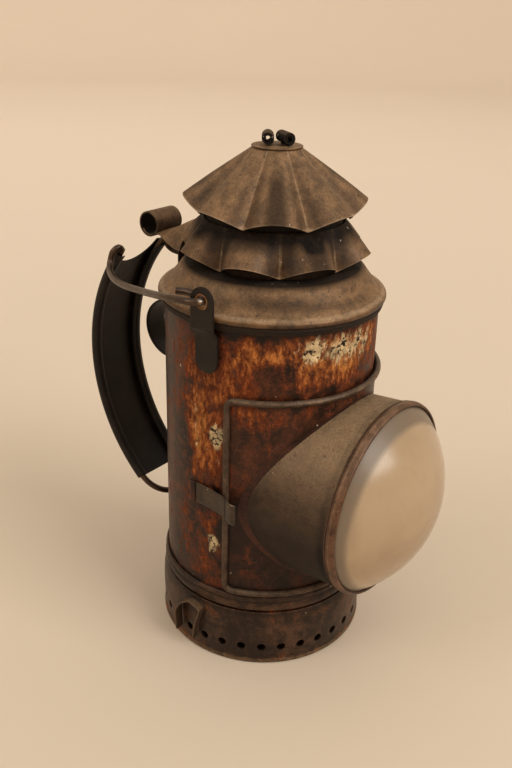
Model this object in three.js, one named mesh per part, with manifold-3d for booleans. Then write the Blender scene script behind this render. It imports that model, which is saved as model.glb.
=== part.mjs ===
// Bull's-eye hand lantern with a swinging lens door, a turning dark shutter and a folding handle.
// Millimetres, +Z up. The origin is the centre of the base, on the plane that the lantern stands on.
// The lens faces -Y, the handle is at +Y, the door's hinge is at +X and its catch at -X.

import * as THREE from 'three';
import { mergeVertices } from 'three/addons/utils/BufferGeometryUtils.js';
import Module from 'manifold-3d';

const wasm = await Module();
wasm.setup();

// ---- driving dimensions ----
const SHEET = 0.7;             // tinplate thickness
const GAP = 0.35;              // clearance between neighbouring pieces
const BODY_R = 40;             // outside of the body shell
const BODY_BOTTOM = 17;
const BODY_TOP = 142.5;
const SKIRT_TOP = 24.8;
const VENT_COUNT = 33;
const VENT_R = 1.7;
const VENT_Z = 8;
const DOOR_IN_R = BODY_R + 0.4;
const DOOR_OUT_R = DOOR_IN_R + 0.6;
const BEAD_R = 1.2;            // wired edge of the door
const BEAD_PATH_R = BODY_R + 1.6;
const DOOR_LEFT = -163.3;      // angles about Z in degrees, -90 is the front
const DOOR_RIGHT = -18.4;
const DOOR_BOTTOM = 33.9;      // centre of the wired edge
const DOOR_TOP = 114.8;
const LENS_Z = 73.7;
const LENS_PLANE = -56.9;      // where the glass dome leaves its rim
const LENS_DOME_R = 35.9;
const LENS_DOME_H = 17.5;
const TUBE_FRONT = -53.2;      // front edge of the lens tube
const TUBE_SHEAR = -0.083;     // the lens tube droops this much per millimetre towards the body
const HINGE_R = 42.75;
const HINGE_ANGLE = -15;
const EAR_Y = -3.6;
const EAR_Z = 149.6;           // pivot of the handle
const WIRE_R = 1.35;           // handle wire
const GRIP_Y = 15.35;          // centre of the grip's arc, in the middle plane
const GRIP_Z = 98.1;
const GRIP_R = 73;
const GRIP_TOP = 41.5;         // degrees on that arc
const GRIP_BOTTOM = -50.6;
const GRIP_EDGE_X = 11.7;      // wire centre inside the rolled edges
const LOBES = 8;
const UPPER_PHASE = -142.4;    // direction of one crest of the upper ruffle
const LOWER_PHASE = -115.9;    // direction of one crest of the lower ruffle
const TUBE_R = 24.7;           // chimney tube
const SHUTTER_R = 37.2;
const REFLECTOR_R = 21;
const FONT_R = 28;

const FINISH = {
  japan: [0x3a2a20, 0.55, 0.5],
  bronze: [0x5a4636, 0.6, 0.5],
  black: [0x1d1815, 0.6, 0.4],
  wire: [0x6b5a4a, 0.45, 0.7],
  tin: [0xa8a49a, 0.35, 0.9],
  brass: [0xa98640, 0.35, 0.9],
  glass: [0xd8cdb4, 0.2, 0.0],
  cotton: [0xd9d2c0, 0.95, 0.0],
};

// ---- geometry helpers ----
const rad = THREE.MathUtils.degToRad;
const polar = (r, degrees, z) => new THREE.Vector3(r * Math.cos(rad(degrees)), r * Math.sin(rad(degrees)), z);

function range(count, from, to) {
  return Array.from({ length: count + 1 }, (_, i) => from + ((to - from) * i) / count);
}

/** Positions only, shared corners merged, faces turned outward. */
function solid(geometry) {
  const bare = geometry.index ? geometry : geometry.clone();
  bare.deleteAttribute('normal');
  bare.deleteAttribute('uv');
  const merged = mergeVertices(bare, 1e-4);
  const p = merged.attributes.position;
  const index = merged.index.array;
  const [a, b, c] = [new THREE.Vector3(), new THREE.Vector3(), new THREE.Vector3()];
  let volume = 0;
  for (let i = 0; i < index.length; i += 3) {
    a.fromBufferAttribute(p, index[i]);
    b.fromBufferAttribute(p, index[i + 1]);
    c.fromBufferAttribute(p, index[i + 2]);
    volume += a.dot(b.cross(c));
  }
  if (volume < 0) index.reverse();
  return merged;
}

function toManifold(geometry) {
  const clean = solid(geometry);
  return new wasm.Manifold(new wasm.Mesh({
    numProp: 3,
    vertProperties: new Float32Array(clean.attributes.position.array),
    triVerts: new Uint32Array(clean.index.array),
  }));
}

function fromManifold(manifold) {
  const mesh = manifold.getMesh();
  const geometry = new THREE.BufferGeometry();
  geometry.setAttribute('position', new THREE.BufferAttribute(new Float32Array(mesh.vertProperties), 3));
  geometry.setIndex(new THREE.BufferAttribute(new Uint32Array(mesh.triVerts), 1));
  return geometry;
}

const join = (first, ...rest) => fromManifold(rest.reduce((m, g) => m.add(toManifold(g)), toManifold(first)));
const cut = (first, ...rest) => fromManifold(rest.reduce((m, g) => m.subtract(toManifold(g)), toManifold(first)));
const common = (first, second) => fromManifold(toManifold(first).intersect(toManifold(second)));

/** Turns a closed (radius, z) outline about Z. */
function turned(outline, segments = 64) {
  const points = outline.map(([r, z]) => new THREE.Vector2(r, z));
  if (outline[0][0] > 0) points.push(points[0].clone());
  return solid(new THREE.LatheGeometry(points, segments).rotateX(Math.PI / 2));
}

/** Turns a closed (radius, y) outline about the lens axis. */
function turnedAboutLensAxis(outline, segments = 44) {
  const points = outline.map(([r, y]) => new THREE.Vector2(r, y));
  if (outline[0][0] > 0) points.push(points[0].clone());
  return solid(new THREE.LatheGeometry(points, segments).translate(0, 0, LENS_Z));
}

/** Ring wall between two radii and two heights. */
const tubeWall = (inner, outer, low, high, segments) =>
  turned([[inner, low], [outer, low], [outer, high], [inner, high]], segments);

/** Skins rings of points into a closed body; the first ring's flat copy gives the end caps. */
function skin(rings, flat = null) {
  const count = rings[0].length;
  const position = rings.flatMap((ring) => ring.flatMap((p) => [p.x, p.y, p.z]));
  const index = [];
  const spans = flat ? rings.length - 1 : rings.length;
  for (let i = 0; i < spans; i += 1) {
    const next = (i + 1) % rings.length;
    for (let j = 0; j < count; j += 1) {
      const k = (j + 1) % count;
      const [p, q, r, s] = [i * count + j, i * count + k, next * count + k, next * count + j];
      index.push(p, q, r, p, r, s);
    }
  }
  if (flat) {
    const last = (rings.length - 1) * count;
    for (const [a, b, c] of THREE.ShapeUtils.triangulateShape(flat, [])) {
      const turn = THREE.ShapeUtils.isClockWise(flat) ? 1 : -1;
      if (turn > 0) index.push(a, b, c, last + a, last + c, last + b);
      else index.push(a, c, b, last + a, last + b, last + c);
    }
  }
  const geometry = new THREE.BufferGeometry();
  geometry.setAttribute('position', new THREE.Float32BufferAttribute(position, 3));
  geometry.setIndex(index);
  return solid(geometry);
}

/** Round wire along a list of points, with a section frame carried along without twist. */
function wire(points, radius, sides = 8) {
  const flat = range(sides - 1, 0, sides - 1).map((i) => {
    const angle = (2 * Math.PI * i) / sides;
    return new THREE.Vector2(radius * Math.cos(angle), radius * Math.sin(angle));
  });
  let across = null;
  const rings = points.map((point, i) => {
    const before = points[Math.max(i - 1, 0)];
    const after = points[Math.min(i + 1, points.length - 1)];
    const along = after.clone().sub(before).normalize();
    const seed = across ?? new THREE.Vector3(0.31, 0.17, 0.93);
    across = seed.clone().addScaledVector(along, -seed.dot(along)).normalize();
    const up = along.clone().cross(across);
    return flat.map((f) => point.clone().addScaledVector(across, f.x).addScaledVector(up, f.y));
  });
  return skin(rings, flat);
}

/** Outline of a bent strip: a polyline given thickness on both sides. */
function stripOutline(path, thickness) {
  const points = path.map(([x, y]) => new THREE.Vector2(x, y));
  const side = (sign) => points.map((p, i) => {
    const back = p.clone().sub(points[Math.max(i - 1, 0)]);
    const ahead = points[Math.min(i + 1, points.length - 1)].clone().sub(p);
    const a = (back.lengthSq() ? back : ahead).clone().normalize();
    const b = (ahead.lengthSq() ? ahead : back).clone().normalize();
    const mean = a.clone().add(b).normalize();
    const reach = (sign * thickness) / 2 / Math.max(mean.dot(a), 0.5);
    return new THREE.Vector2(p.x - mean.y * reach, p.y + mean.x * reach);
  });
  return new THREE.Shape([...side(1), ...side(-1).reverse()]);
}

const extrude = (shape, depth) =>
  new THREE.ExtrudeGeometry(shape, { depth, bevelEnabled: false, curveSegments: 8, steps: 1 });

/** Strip whose path lies in the YZ plane, with its width along X about the middle plane. */
function stripAcrossX(path, thickness, width) {
  const body = extrude(stripOutline(path, thickness), width).translate(0, 0, -width / 2);
  return solid(body.applyMatrix4(new THREE.Matrix4().set(0, 0, 1, 0, 1, 0, 0, 0, 0, 1, 0, 0, 0, 0, 0, 1)));
}

/** Sector of a ring between two radii and two angles in degrees, standing from low to high. */
function sector(inner, outer, from, to, low, high) {
  const steps = Math.max(3, Math.round(Math.abs(to - from) / 6));
  const angles = range(steps, rad(from), rad(to));
  const outerArc = angles.map((a) => new THREE.Vector2(outer * Math.cos(a), outer * Math.sin(a)));
  const innerArc = angles.map((a) => new THREE.Vector2(inner * Math.cos(a), inner * Math.sin(a))).reverse();
  return solid(extrude(new THREE.Shape([...outerArc, ...innerArc]), high - low).translate(0, 0, low));
}

/** Upright cylinder about Z, or about another axis after the caller turns it. */
const rod = (radius, low, high, segments = 24, topRadius = radius) =>
  new THREE.CylinderGeometry(topRadius, radius, high - low, segments)
    .translate(0, (high + low) / 2, 0).rotateX(Math.PI / 2);

// ---- assembly ----
const lantern = new THREE.Group();

function add(name, geometry, finish, place = () => {}) {
  const [color, roughness, metalness] = FINISH[finish];
  const mesh = new THREE.Mesh(solid(geometry), new THREE.MeshStandardMaterial({ color, roughness, metalness }));
  mesh.name = name;
  place(mesh);
  lantern.add(mesh);
  return mesh;
}

// ---- base: floor, perforated skirt, clip, oil font and burner, reflector ----
function buildBase() {
  add('base_floor', turned([[0, 0], [40.6, 0], [40.6, 0.8], [0, 0.8]], 48), 'japan');
  const skirt = turned([
    [41, 0], [42.3, 0.5], [41.9, 2.4], [42.3, 14], [42.1, 20.5], [41, SKIRT_TOP], [40.75, 24], [41.3, 19],
    [41.05, 3],
  ], 48);
  const vents = range(VENT_COUNT - 1, 0, VENT_COUNT - 1).map((i) => rod(VENT_R, 36, 46, 6)
    .rotateY(Math.PI / 2).rotateZ(rad(-142.3 + (360 * i) / VENT_COUNT)).translate(0, 0, VENT_Z));
  add('base_skirt', cut(skirt, ...vents), 'japan');

  const clipPath = [[8.6, 6.4], [9.2, 15.6], [6.6, 20.4], [2, 24], [-3.9, 22.4], [-1, 13.2], [-0.2, 6.4]];
  const clip = stripAcrossX(clipPath, SHEET, 6).translate(-42.6, 0, 0);
  add('base_clip', cut(clip, rod(42.7, 0, 40, 66)), 'bronze');

  const font = turned([
    [0, 1.2], [FONT_R, 1.2], [FONT_R, 21], [FONT_R - 2, 24], [6.4, 24], [6.4, 23.2], [FONT_R - 2.4, 23.2],
    [FONT_R - 0.8, 20.6], [FONT_R - 0.8, 2], [0, 2],
  ], 32);
  add('oil_font', cut(font, rod(3.4, 20, 30, 20).translate(-16, -9, 0)), 'tin');
  const cap = turned([[0, 24.4], [5.4, 24.4], [5.4, 27.6], [4.4, 28.6], [0, 28.6]], 20);
  add('filler_cap', cap, 'brass', (m) => m.position.set(-16, -9, 0));

  const collar = [[4.7, 19], [6, 19], [6, 24.4], [9.6, 24.4], [9.6, 29.6], [4.7, 29.6]];
  add('burner_collar', turned(collar, 24), 'brass');
  add('wick_tube', tubeWall(3.7, 4.3, 12, 50, 20), 'brass');
  add('wick', turned([[0, 8], [3.3, 8], [3.3, 54], [2.4, 55], [0, 55]], 16), 'cotton');
  const cone = [
    [10.4, 30], [11.2, 30], [11.5, 35.5], [8.4, 41.5], [5.2, 44.6], [4.8, 43.9], [7.8, 41], [10.8, 35.2],
  ];
  add('air_cone', turned(cone, 24), 'brass');

  const focal = 15.75;
  const rings = range(4, 0, REFLECTOR_R);
  const front = rings.map((r) => [r, 17 - (r * r) / (4 * focal)]);
  const back = rings.map((r) => [r, 17.6 - (r * r) / (4 * focal)]).reverse();
  add('reflector', turnedAboutLensAxis([...front, ...back], 32), 'tin');
  const bracket = [[11, 24.8], [20.2, 24.8], [21, 26], [20.4, 52], [18.5, 77]];
  add('reflector_bracket', stripAcrossX(bracket, 0.8, 8), 'tin');
}

// ---- body: shell, bands, dome, ears, belt loop, hinge halves, thumb rest ----
function buildBody() {
  const shell = tubeWall(BODY_R - 0.8, BODY_R, BODY_BOTTOM, BODY_TOP, 60);
  add('body_shell', cut(shell, sector(30, 46, -158, -22, 38, 111)), 'japan');
  const band = [[40.35, 25.3], [41.15, 25.3], [41.5, 27.5], [40.95, 29.1], [41.3, 30.6], [40.85, 31.6], [40.35, 31.6]];
  add('lower_band', turned(band, 48), 'japan');

  const outside = [
    [41.2, 139.6], [41.2, 142.5], [42.4, 143], [42.1, 144.5], [39.7, 145.7], [36, 149.7], [33.6, 153],
    [31.3, 154.3], [27, 154.7],
  ];
  const inside = [[27, 153.9], [31, 153.5], [34.6, 150.4], [39.3, 144.9], [40.4, 143.4], [40.4, 139.6]];
  add('top_dome', turned([...outside, ...inside], 48), 'bronze');
  add('chimney_seat', tubeWall(25.1, 26.6, 152.5, 156.6, 40), 'bronze');

  for (const [name, side] of [['ear_left', -1], ['ear_right', 1]]) add(name, earPlate(side), 'black');
  add('belt_loop', beltLoop(), 'black');
  add('thumb_rest', thumbRest(), 'bronze');

  const root = solid(extrude(stripOutline([[-40.7, 4.7], [-40.7, 2]], 0.6), 8.5).translate(0, 0, 68.3));
  add('latch_root', root, 'japan');

  const { x, y } = polar(HINGE_R, HINGE_ANGLE, 0);
  add('hinge_pin', turned([[0, 39], [0.8, 39], [0.8, 109], [0, 109]], 12), 'wire', (m) => m.position.set(x, y, 0));
  for (const [name, low, high] of [['hinge_knuckle_lower', 41, 51], ['hinge_knuckle_upper', 97, 107]]) {
    add(name, knuckle(low, high, sector(40.35, 40.95, -14.6, -3, low, high)), 'japan');
  }
}

/** Hinge barrel with its soldered leaf. */
function knuckle(low, high, leaf) {
  const { x, y } = polar(HINGE_R, HINGE_ANGLE, 0);
  const barrel = rod(1.9, low, high, 16).translate(x, y, 0);
  const bore = rod(1.1, low - 1, high + 1, 12).translate(x, y, 0);
  return cut(join(barrel, leaf), bore);
}

/** Handle ear: a strap soldered to the shell that steps out over the dome's rim to a pierced round head. */
function earPlate(side) {
  const headX = 43.3;
  const strapX = 40.9;
  const profile = stripOutline([[strapX, 120], [strapX, 136.4], [headX, 140], [headX, 158]], 1.1);
  const bar = extrude(profile, 20).rotateX(Math.PI / 2).translate(0, EAR_Y + 10, 0);
  const half = 4.9;
  const outline = new THREE.Shape();
  outline.absarc(EAR_Y, EAR_Z, half, 0, Math.PI, false);
  outline.absarc(EAR_Y, 123 + half, half, Math.PI, 2 * Math.PI, false);
  outline.holes.push(new THREE.Path().absarc(EAR_Y, EAR_Z, 2.35, 0, 2 * Math.PI, true));
  const punch = extrude(outline, 20)
    .applyMatrix4(new THREE.Matrix4().set(0, 0, 1, 32, 1, 0, 0, 0, 0, 1, 0, 0, 0, 0, 0, 1));
  const ear = common(bar, punch);
  return side > 0 ? ear : ear.applyMatrix4(new THREE.Matrix4().makeScale(-1, 1, 1));
}

function beltLoop() {
  const bend = range(8, 90, -90).map((a) => [49.2 + 12.2 * Math.cos(rad(a)), 115.2 + 12.2 * Math.sin(rad(a))]);
  return stripAcrossX([[40.8, 133.5], [40.8, 128.3], [42, 127.4], ...bend, [42, 103], [40.8, 102], [40.8, 97]], 0.8, 11);
}

/** Thumb rest: an arched hood that ends in a roll, closed at its near end by a plate that stands on the dome. */
function thumbRest() {
  const stations = [[36.8, 11, 152.2, 163.2], [41, 9.8, 152, 161.2], [46, 8.4, 153, 158.6], [50, 7.3, 154.7, 156.9],
    [53.4, 7, 155.35, 155.55]];
  const layer = (drop) => stations.map(([y, half, low, high]) => range(8, -1, 1).map((u) =>
    new THREE.Vector3(u * (half - drop * Math.abs(u)), y, low + (high - low) * (1 - u * u) - drop)));
  const [top, under] = [layer(0), layer(SHEET)];
  const rings = top.map((row, i) => [...row, ...under[i].slice().reverse()]);
  const hood = skin(rings, rings[0].map((p) => new THREE.Vector2(p.x, p.z)));
  const roll = range(22, 212, 212 + 470).map((a) => {
    const r = 4.35 - Math.max(0, a - 560) * 0.009;
    return [57 + r * Math.cos(rad(a)), 158.3 + r * Math.sin(rad(a))];
  });
  const edge = [[-10.9, 146.8], [-8, 147.6], [-5, 148.3], [0, 148.7], [5, 148.3], [8, 147.6], [10.9, 146.8], [10.9, 152],
    [8, 157], [5, 160.5], [0, 162.7], [-5, 160.5], [-8, 157], [-10.9, 152]].map(([x, z]) => new THREE.Vector2(x, z));
  const plate = solid(extrude(new THREE.Shape(edge), SHEET).rotateX(Math.PI / 2).translate(0, 37.2 + SHEET, 0));
  return join(hood, stripAcrossX([[51.6, 155.7], ...roll], SHEET, 14), plate);
}

// ---- chimney head and dark shutter: they turn together ----
/** Pleated cone: each station blends from a crease line to a crest line around the axis; the hem dips on one side. */
function ruffle(crease, crest, phase, dip = 0) {
  const wall = 0.6;
  const around = range(LOBES * 8 - 1, 0, LOBES * 8 - 1).map((i) => (2 * Math.PI * i) / (LOBES * 8));
  const rings = around.map((angle) => {
    const swell = Math.abs(Math.cos((LOBES / 2) * angle));
    const lean = (i) => (dip * Math.cos(angle) * i) / (crease.length - 1);
    const outer = crease.map(([r, z], i) => [r + (crest[i][0] - r) * swell, z + (crest[i][1] - z) * swell - lean(i)]);
    const inner = outer.map(([r, z]) => [r - wall * 0.8, z - wall * 0.6]).reverse();
    const turn = angle + rad(phase);
    return [...outer, ...inner].map(([r, z]) => new THREE.Vector3(r * Math.cos(turn), r * Math.sin(turn), z));
  });
  return skin(rings);
}

function buildChimney() {
  add('chimney_tube', tubeWall(TUBE_R - 0.7, TUBE_R, 119.6, 173.4, 40), 'bronze');
  const lowerCrease = [[25.7, 170.3], [27.2, 162.8], [28.3, 155.3]];
  const lowerCrest = [[25.7, 170.3], [31.2, 165.5], [35.9, 160.3]];
  add('lower_ruffle', ruffle(lowerCrease, lowerCrest, LOWER_PHASE), 'bronze');
  const upperCrease = [[8.8, 194.2], [15.2, 187.6], [22, 180.8], [28.6, 173.7]];
  const upperCrest = [[8.8, 194.2], [17, 188.8], [25.2, 183.2], [33.1, 177.5]];
  add('upper_ruffle', ruffle(upperCrease, upperCrest, UPPER_PHASE, 2.6), 'bronze');
  add('cap_plate', turned([[0, 194.4], [9.1, 194.4], [9.1, 195], [0, 195]], 24), 'bronze');
  for (const [name, aside, fan] of [['finger_scroll_left', -3.5, 0], ['finger_scroll_right', 2.6, 22]]) {
    const scroll = turned([[1.7, -3.8], [2.5, -3.8], [2.5, 3.8], [1.7, 3.8]], 16).rotateX(Math.PI / 2);
    add(name, scroll, 'bronze', (m) => {
      const facing = rad(UPPER_PHASE);
      m.position.set(-aside * Math.sin(facing), aside * Math.cos(facing), 197.85);
      m.rotation.z = facing + Math.PI / 2 + rad(fan);
    });
  }
  add('shutter_crown', turned([[TUBE_R - 0.6, 118.4], [SHUTTER_R, 118.4], [SHUTTER_R, 119.2],
    [TUBE_R - 0.6, 119.2]], 40), 'tin');
  const shutter = tubeWall(SHUTTER_R - 0.6, SHUTTER_R, 36, 118, 56);
  add('dark_shutter', cut(shutter, sector(30, 44, -146, -34, 40, 112)), 'tin');
}

// ---- door: wired panel, hinge barrel, lens tube, bezel, lens ----
/** Slightly drooping lens tube as a solid of one outside radius. */
function lensTubeSolid(radiusAtBody, radiusAtFront, front) {
  const plug = new THREE.CylinderGeometry(radiusAtBody, radiusAtFront, -front, 48).translate(0, front / 2, 0);
  const droop = new THREE.Matrix4().set(1, 0, 0, 0, 0, 1, 0, 0, 0, TUBE_SHEAR, 1, LENS_Z + TUBE_SHEAR * -TUBE_FRONT,
    0, 0, 0, 1);
  return plug.applyMatrix4(droop);
}

function buildDoor() {
  const corner = 3;
  const turn = THREE.MathUtils.radToDeg(corner / BEAD_PATH_R);
  const edgeRow = (z, angles) => angles.map((a) => polar(BEAD_PATH_R, a, z));
  const bow = (z, dir) => [30, 60].map((a) => polar(BEAD_PATH_R, DOOR_LEFT + turn * (1 - Math.sin(rad(a))),
    z + dir * corner * (1 - Math.cos(rad(a)))));
  const path = [
    ...edgeRow(DOOR_BOTTOM, range(15, DOOR_RIGHT - 1, DOOR_LEFT + turn)), ...bow(DOOR_BOTTOM, 1),
    ...range(2, DOOR_BOTTOM + corner, DOOR_TOP - corner).map((z) => polar(BEAD_PATH_R, DOOR_LEFT, z)),
    ...bow(DOOR_TOP, -1).reverse(), ...edgeRow(DOOR_TOP, range(15, DOOR_LEFT + turn, DOOR_RIGHT - 1)),
  ];
  const sheet = sector(DOOR_IN_R, DOOR_OUT_R, DOOR_LEFT, DOOR_RIGHT, DOOR_BOTTOM, DOOR_TOP);
  add('door_panel', cut(join(sheet, wire(path, BEAD_R, 6)), lensTubeSolid(35.5, 36, -70)), 'japan');
  add('door_hinge_barrel', knuckle(51.4, 96.6, sector(41.35, 41.95, -26, -15.5, 51.4, 96.6)), 'japan');

  const bodySide = rod(DOOR_OUT_R + GAP, 0, 140, 60);
  const tube = cut(lensTubeSolid(36.3, 36.8, TUBE_FRONT), lensTubeSolid(35.6, 36.1, -70), bodySide);
  add('lens_tube', tube, 'bronze');

  const bezel = [
    [36.95, -53.4], [37.4, -53.4], [37.7, -54.4], [37.8, -55.6], [37.4, -57.1], [36.9, -57.6], [36.15, -57.5],
    [36.15, -56.75], [36.95, -56.75],
  ];
  add('lens_bezel', turnedAboutLensAxis(bezel), 'bronze');
  const sphere = (LENS_DOME_R ** 2 + LENS_DOME_H ** 2) / (2 * LENS_DOME_H);
  const rim = Math.asin(LENS_DOME_R / sphere);
  const dome = range(6, 0, rim).map((a) => [sphere * Math.sin(a),
    LENS_PLANE - LENS_DOME_H + sphere * (1 - Math.cos(a))]);
  add('lens', turnedAboutLensAxis([...dome, [LENS_DOME_R, -56.4], [36.7, -56.35], [36.7, -53.8], [0, -53.8]]), 'glass');
  add('lens_retainer', turnedAboutLensAxis([[34.2, -53.4], [35.4, -53.4], [35.4, -52.4], [34.2, -52.4]], 40), 'tin');
}

// ---- sprung catch for the door's wired edge ----
function buildLatch() {
  const path = [[-40.7, 1.5], [-40.75, -3], [-41.2, -7.5], [-41.85, -11.6], [-42.3, -13.4], [-43.6, -15.8],
    [-44.2, -18], [-43.9, -19.8]];
  add('latch_spring', extrude(stripOutline(path, 0.6), 8.5).translate(0, 0, 68.3), 'japan');
}

// ---- handle: one bent wire and the sheet grip rolled over it ----
function buildHandle() {
  const arcPoint = (degrees, radius, x) =>
    new THREE.Vector3(x, GRIP_Y + radius * Math.cos(rad(degrees)), GRIP_Z + radius * Math.sin(rad(degrees)));
  const wireRadius = GRIP_R - 1.85;
  const flare = new THREE.CatmullRomCurve3([
    [41.6, 9.5, 150], [40.6, 6.4, 150.1], [40.4, 3.2, 150], [40.7, -0.6, 149.8], [41.9, -3.1, 149.65], [43.3, EAR_Y, EAR_Z], [44.7, -3.1, 149.55],
    [45.9, -0.6, 149.4], [46, 4, 149.1], [44.2, 13, 147.6], [40.6, 22, 145.6], [36, 32.3, 143.2], [29, 49.5, 140],
    [23.4, 61, 139.1], [18.6, 68, 140.3], [16.3, 69.6, 143.4], [15.7, 68.6, 146.6], [13.8, 67.4, 148.1],
    [12, 67.5, 146.8],
  ].map(([x, y, z]) => new THREE.Vector3(x, y, z)), false, 'centripetal').getPoints(38);
  const grip = range(12, GRIP_TOP - 0.6, GRIP_BOTTOM).map((a) => arcPoint(a, wireRadius, GRIP_EDGE_X));
  const end = arcPoint(GRIP_BOTTOM, wireRadius, 0);
  const down = new THREE.Vector3(0, Math.sin(rad(GRIP_BOTTOM)), -Math.cos(rad(GRIP_BOTTOM)));
  const loop = range(5, 15, 90).map((a) => end.clone().setX(GRIP_EDGE_X * Math.cos(rad(a)))
    .addScaledVector(down, (GRIP_EDGE_X + 1) * Math.sin(rad(a))));
  const half = [...flare, ...grip, ...loop];
  const mirrored = half.slice(0, -1).reverse().map((p) => new THREE.Vector3(-p.x, p.y, p.z));
  add('handle_wire', wire([...half, ...mirrored], WIRE_R, 6), 'wire');

  const rollR = 2.2;
  const rollDrop = 0.35 - rollR;
  const rollArc = (radius, side) => range(6, 90, 360).map((a) =>
    new THREE.Vector2(side * (-GRIP_EDGE_X + radius * Math.cos(rad(a))), rollDrop + radius * Math.sin(rad(a))));
  const outer = [...rollArc(rollR, 1).reverse(), ...rollArc(rollR, -1)];
  const inner = [...rollArc(rollR - 0.5, -1).reverse(), ...rollArc(rollR - 0.5, 1)];
  const section = [...outer, ...inner];
  const rings = range(14, GRIP_TOP, GRIP_BOTTOM).map((a) => section.map((s) => arcPoint(a, GRIP_R + s.y, s.x)));
  const thumbCut = rod(10.6, -6, 6, 24).rotateY(Math.PI / 2).rotateZ(Math.PI / 2).rotateX(rad(GRIP_TOP));
  const top = arcPoint(GRIP_TOP, GRIP_R, 0);
  add('handle_grip', cut(skin(rings, section), thumbCut.translate(top.x, top.y, top.z)), 'black');
}

buildBase();
buildBody();
buildChimney();
buildDoor();
buildLatch();
buildHandle();

export default lantern;
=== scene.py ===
"""Looks of a bull's-eye hand lantern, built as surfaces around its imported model.

Every size below is in millimetres in the lantern's own frame: the origin is the centre of the
base, +Z is up, the lens faces -Y and the handle is at +Y. Meshes are written in metres.
"""

from __future__ import annotations

import logging
from collections.abc import Callable
from dataclasses import dataclass, field
from enum import Enum

import bmesh
import bpy
import numpy as np
from mathutils import Matrix, Vector


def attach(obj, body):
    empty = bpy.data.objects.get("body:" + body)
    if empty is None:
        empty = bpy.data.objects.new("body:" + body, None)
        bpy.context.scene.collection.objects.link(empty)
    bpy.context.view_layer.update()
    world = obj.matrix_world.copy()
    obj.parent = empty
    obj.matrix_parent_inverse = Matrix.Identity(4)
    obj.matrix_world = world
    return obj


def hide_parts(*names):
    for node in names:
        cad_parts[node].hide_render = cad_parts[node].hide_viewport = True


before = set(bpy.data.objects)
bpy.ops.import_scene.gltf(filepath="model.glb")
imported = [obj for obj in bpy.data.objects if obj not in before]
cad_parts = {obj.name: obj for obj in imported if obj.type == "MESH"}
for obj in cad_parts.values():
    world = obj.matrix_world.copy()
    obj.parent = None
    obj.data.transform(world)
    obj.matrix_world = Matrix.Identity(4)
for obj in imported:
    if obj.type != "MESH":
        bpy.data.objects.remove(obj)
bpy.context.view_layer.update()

LOG = logging.getLogger("lantern")
MM = 0.001
WELD = 2e-6  # metres within which points are made one
SKINS = (0.0, 1.0)  # skin values of a sheet's outer and inner faces
LENS_HEIGHT = 73.7
HINGE_RADIUS, HINGE_ANGLE = 42.75, -15.0
BODY_RADIUS = 40.0
Placer = Callable[[np.ndarray, np.ndarray, float], np.ndarray]


class Axis(Enum):
    """The line that an outline is turned about."""

    UPRIGHT = "the lantern's own centre line"
    LENS = "the line through the middle of the lens"


class Mark(Enum):
    """Named amounts from 0 to 1 that a mesh carries for its finish to read."""

    RUST = "rust"
    BARE = "bare"
    # Smoke stains, and also painted shade: undersides, grooves, hollows and cast shadows made darker.
    SOOT_AND_SHADE = "soot"
    # Rubbing, and also painted highlight along crease ridges and bead crests.
    WEAR_AND_HIGHLIGHT = "wear"


# ---------------------------------------------------------------- surfaces


@dataclass
class Surface:
    """Points in millimetres, four-cornered faces, and the marks on the points."""

    points: np.ndarray
    faces: np.ndarray
    marks: dict[Mark, np.ndarray] = field(default_factory=dict)

    def marked(self, mark: Mark, amount: np.ndarray) -> "Surface":
        """Adds an amount per point to what the mark already holds, kept within 0 to 1."""
        before = self.marks.get(mark, np.zeros(len(self.points)))
        self.marks[mark] = np.clip(before + np.broadcast_to(amount, before.shape), 0, 1)
        return self

    def moved(self, x: float = 0, y: float = 0, z: float = 0) -> "Surface":
        """Shifts every point by the same step."""
        self.points = self.points + np.array([x, y, z])
        return self

    def turned(self, degrees: float) -> "Surface":
        """Turns every point about the upright centre line."""
        c, s = np.cos(np.radians(degrees)), np.sin(np.radians(degrees))
        self.points = self.points @ np.array([[c, -s, 0], [s, c, 0], [0, 0, 1]]).T
        return self

    @property
    def angle(self) -> np.ndarray:
        """Direction of each point round the upright centre line, in degrees."""
        return np.degrees(np.arctan2(self.points[:, 1], self.points[:, 0]))

    @property
    def height(self) -> np.ndarray:
        """Height of each point."""
        return self.points[:, 2]

    @property
    def radius(self) -> np.ndarray:
        """Distance of each point from the upright centre line."""
        return np.hypot(self.points[:, 0], self.points[:, 1])


def together(*surfaces: Surface) -> Surface:
    """Puts several surfaces in one mesh, with marks that one of them lacks taken as 0.

    Args:
        surfaces: the surfaces to put together.

    Returns:
        One surface with all their points and faces.
    """
    starts = np.cumsum([0] + [len(s.points) for s in surfaces[:-1]])
    names = {m for s in surfaces for m in s.marks}
    marks = {
        m: np.concatenate([s.marks.get(m, np.zeros(len(s.points))) for s in surfaces])
        for m in names
    }
    points = np.concatenate([s.points for s in surfaces])
    faces = np.concatenate([s.faces + n for s, n in zip(surfaces, starts)])
    return Surface(points, faces, marks)


def lattice(sections: np.ndarray, joined: bool = False, ring: bool = True) -> Surface:
    """Faces a grid of points; neighbours along both directions share an edge.

    Args:
        sections: points of shape (stations, points round a section, 3).
        joined: True where the last station meets the first.
        ring: True where the last point of a section meets its first.

    Returns:
        The surface. An unjoined one with ring sections is closed at both ends by a ladder of
        faces from point j to point count - 1 - j.
    """
    m, n = sections.shape[:2]
    i = np.arange(m if joined else m - 1)[:, None]
    j = np.arange(n if ring else n - 1)[None, :]
    ahead, beside = (i + 1) % m, (j + 1) % n
    quads = [np.stack([i * n + j, i * n + beside, ahead * n + beside, ahead * n + j], -1).reshape(-1, 4)]
    if ring and not joined:
        k = np.arange(n // 2 - 1)
        rung = np.stack([k, k + 1, n - 2 - k, n - 1 - k], -1)
        quads += [rung, rung[:, ::-1] + (m - 1) * n]
    return Surface(sections.reshape(-1, 3), np.concatenate(quads))


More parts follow.
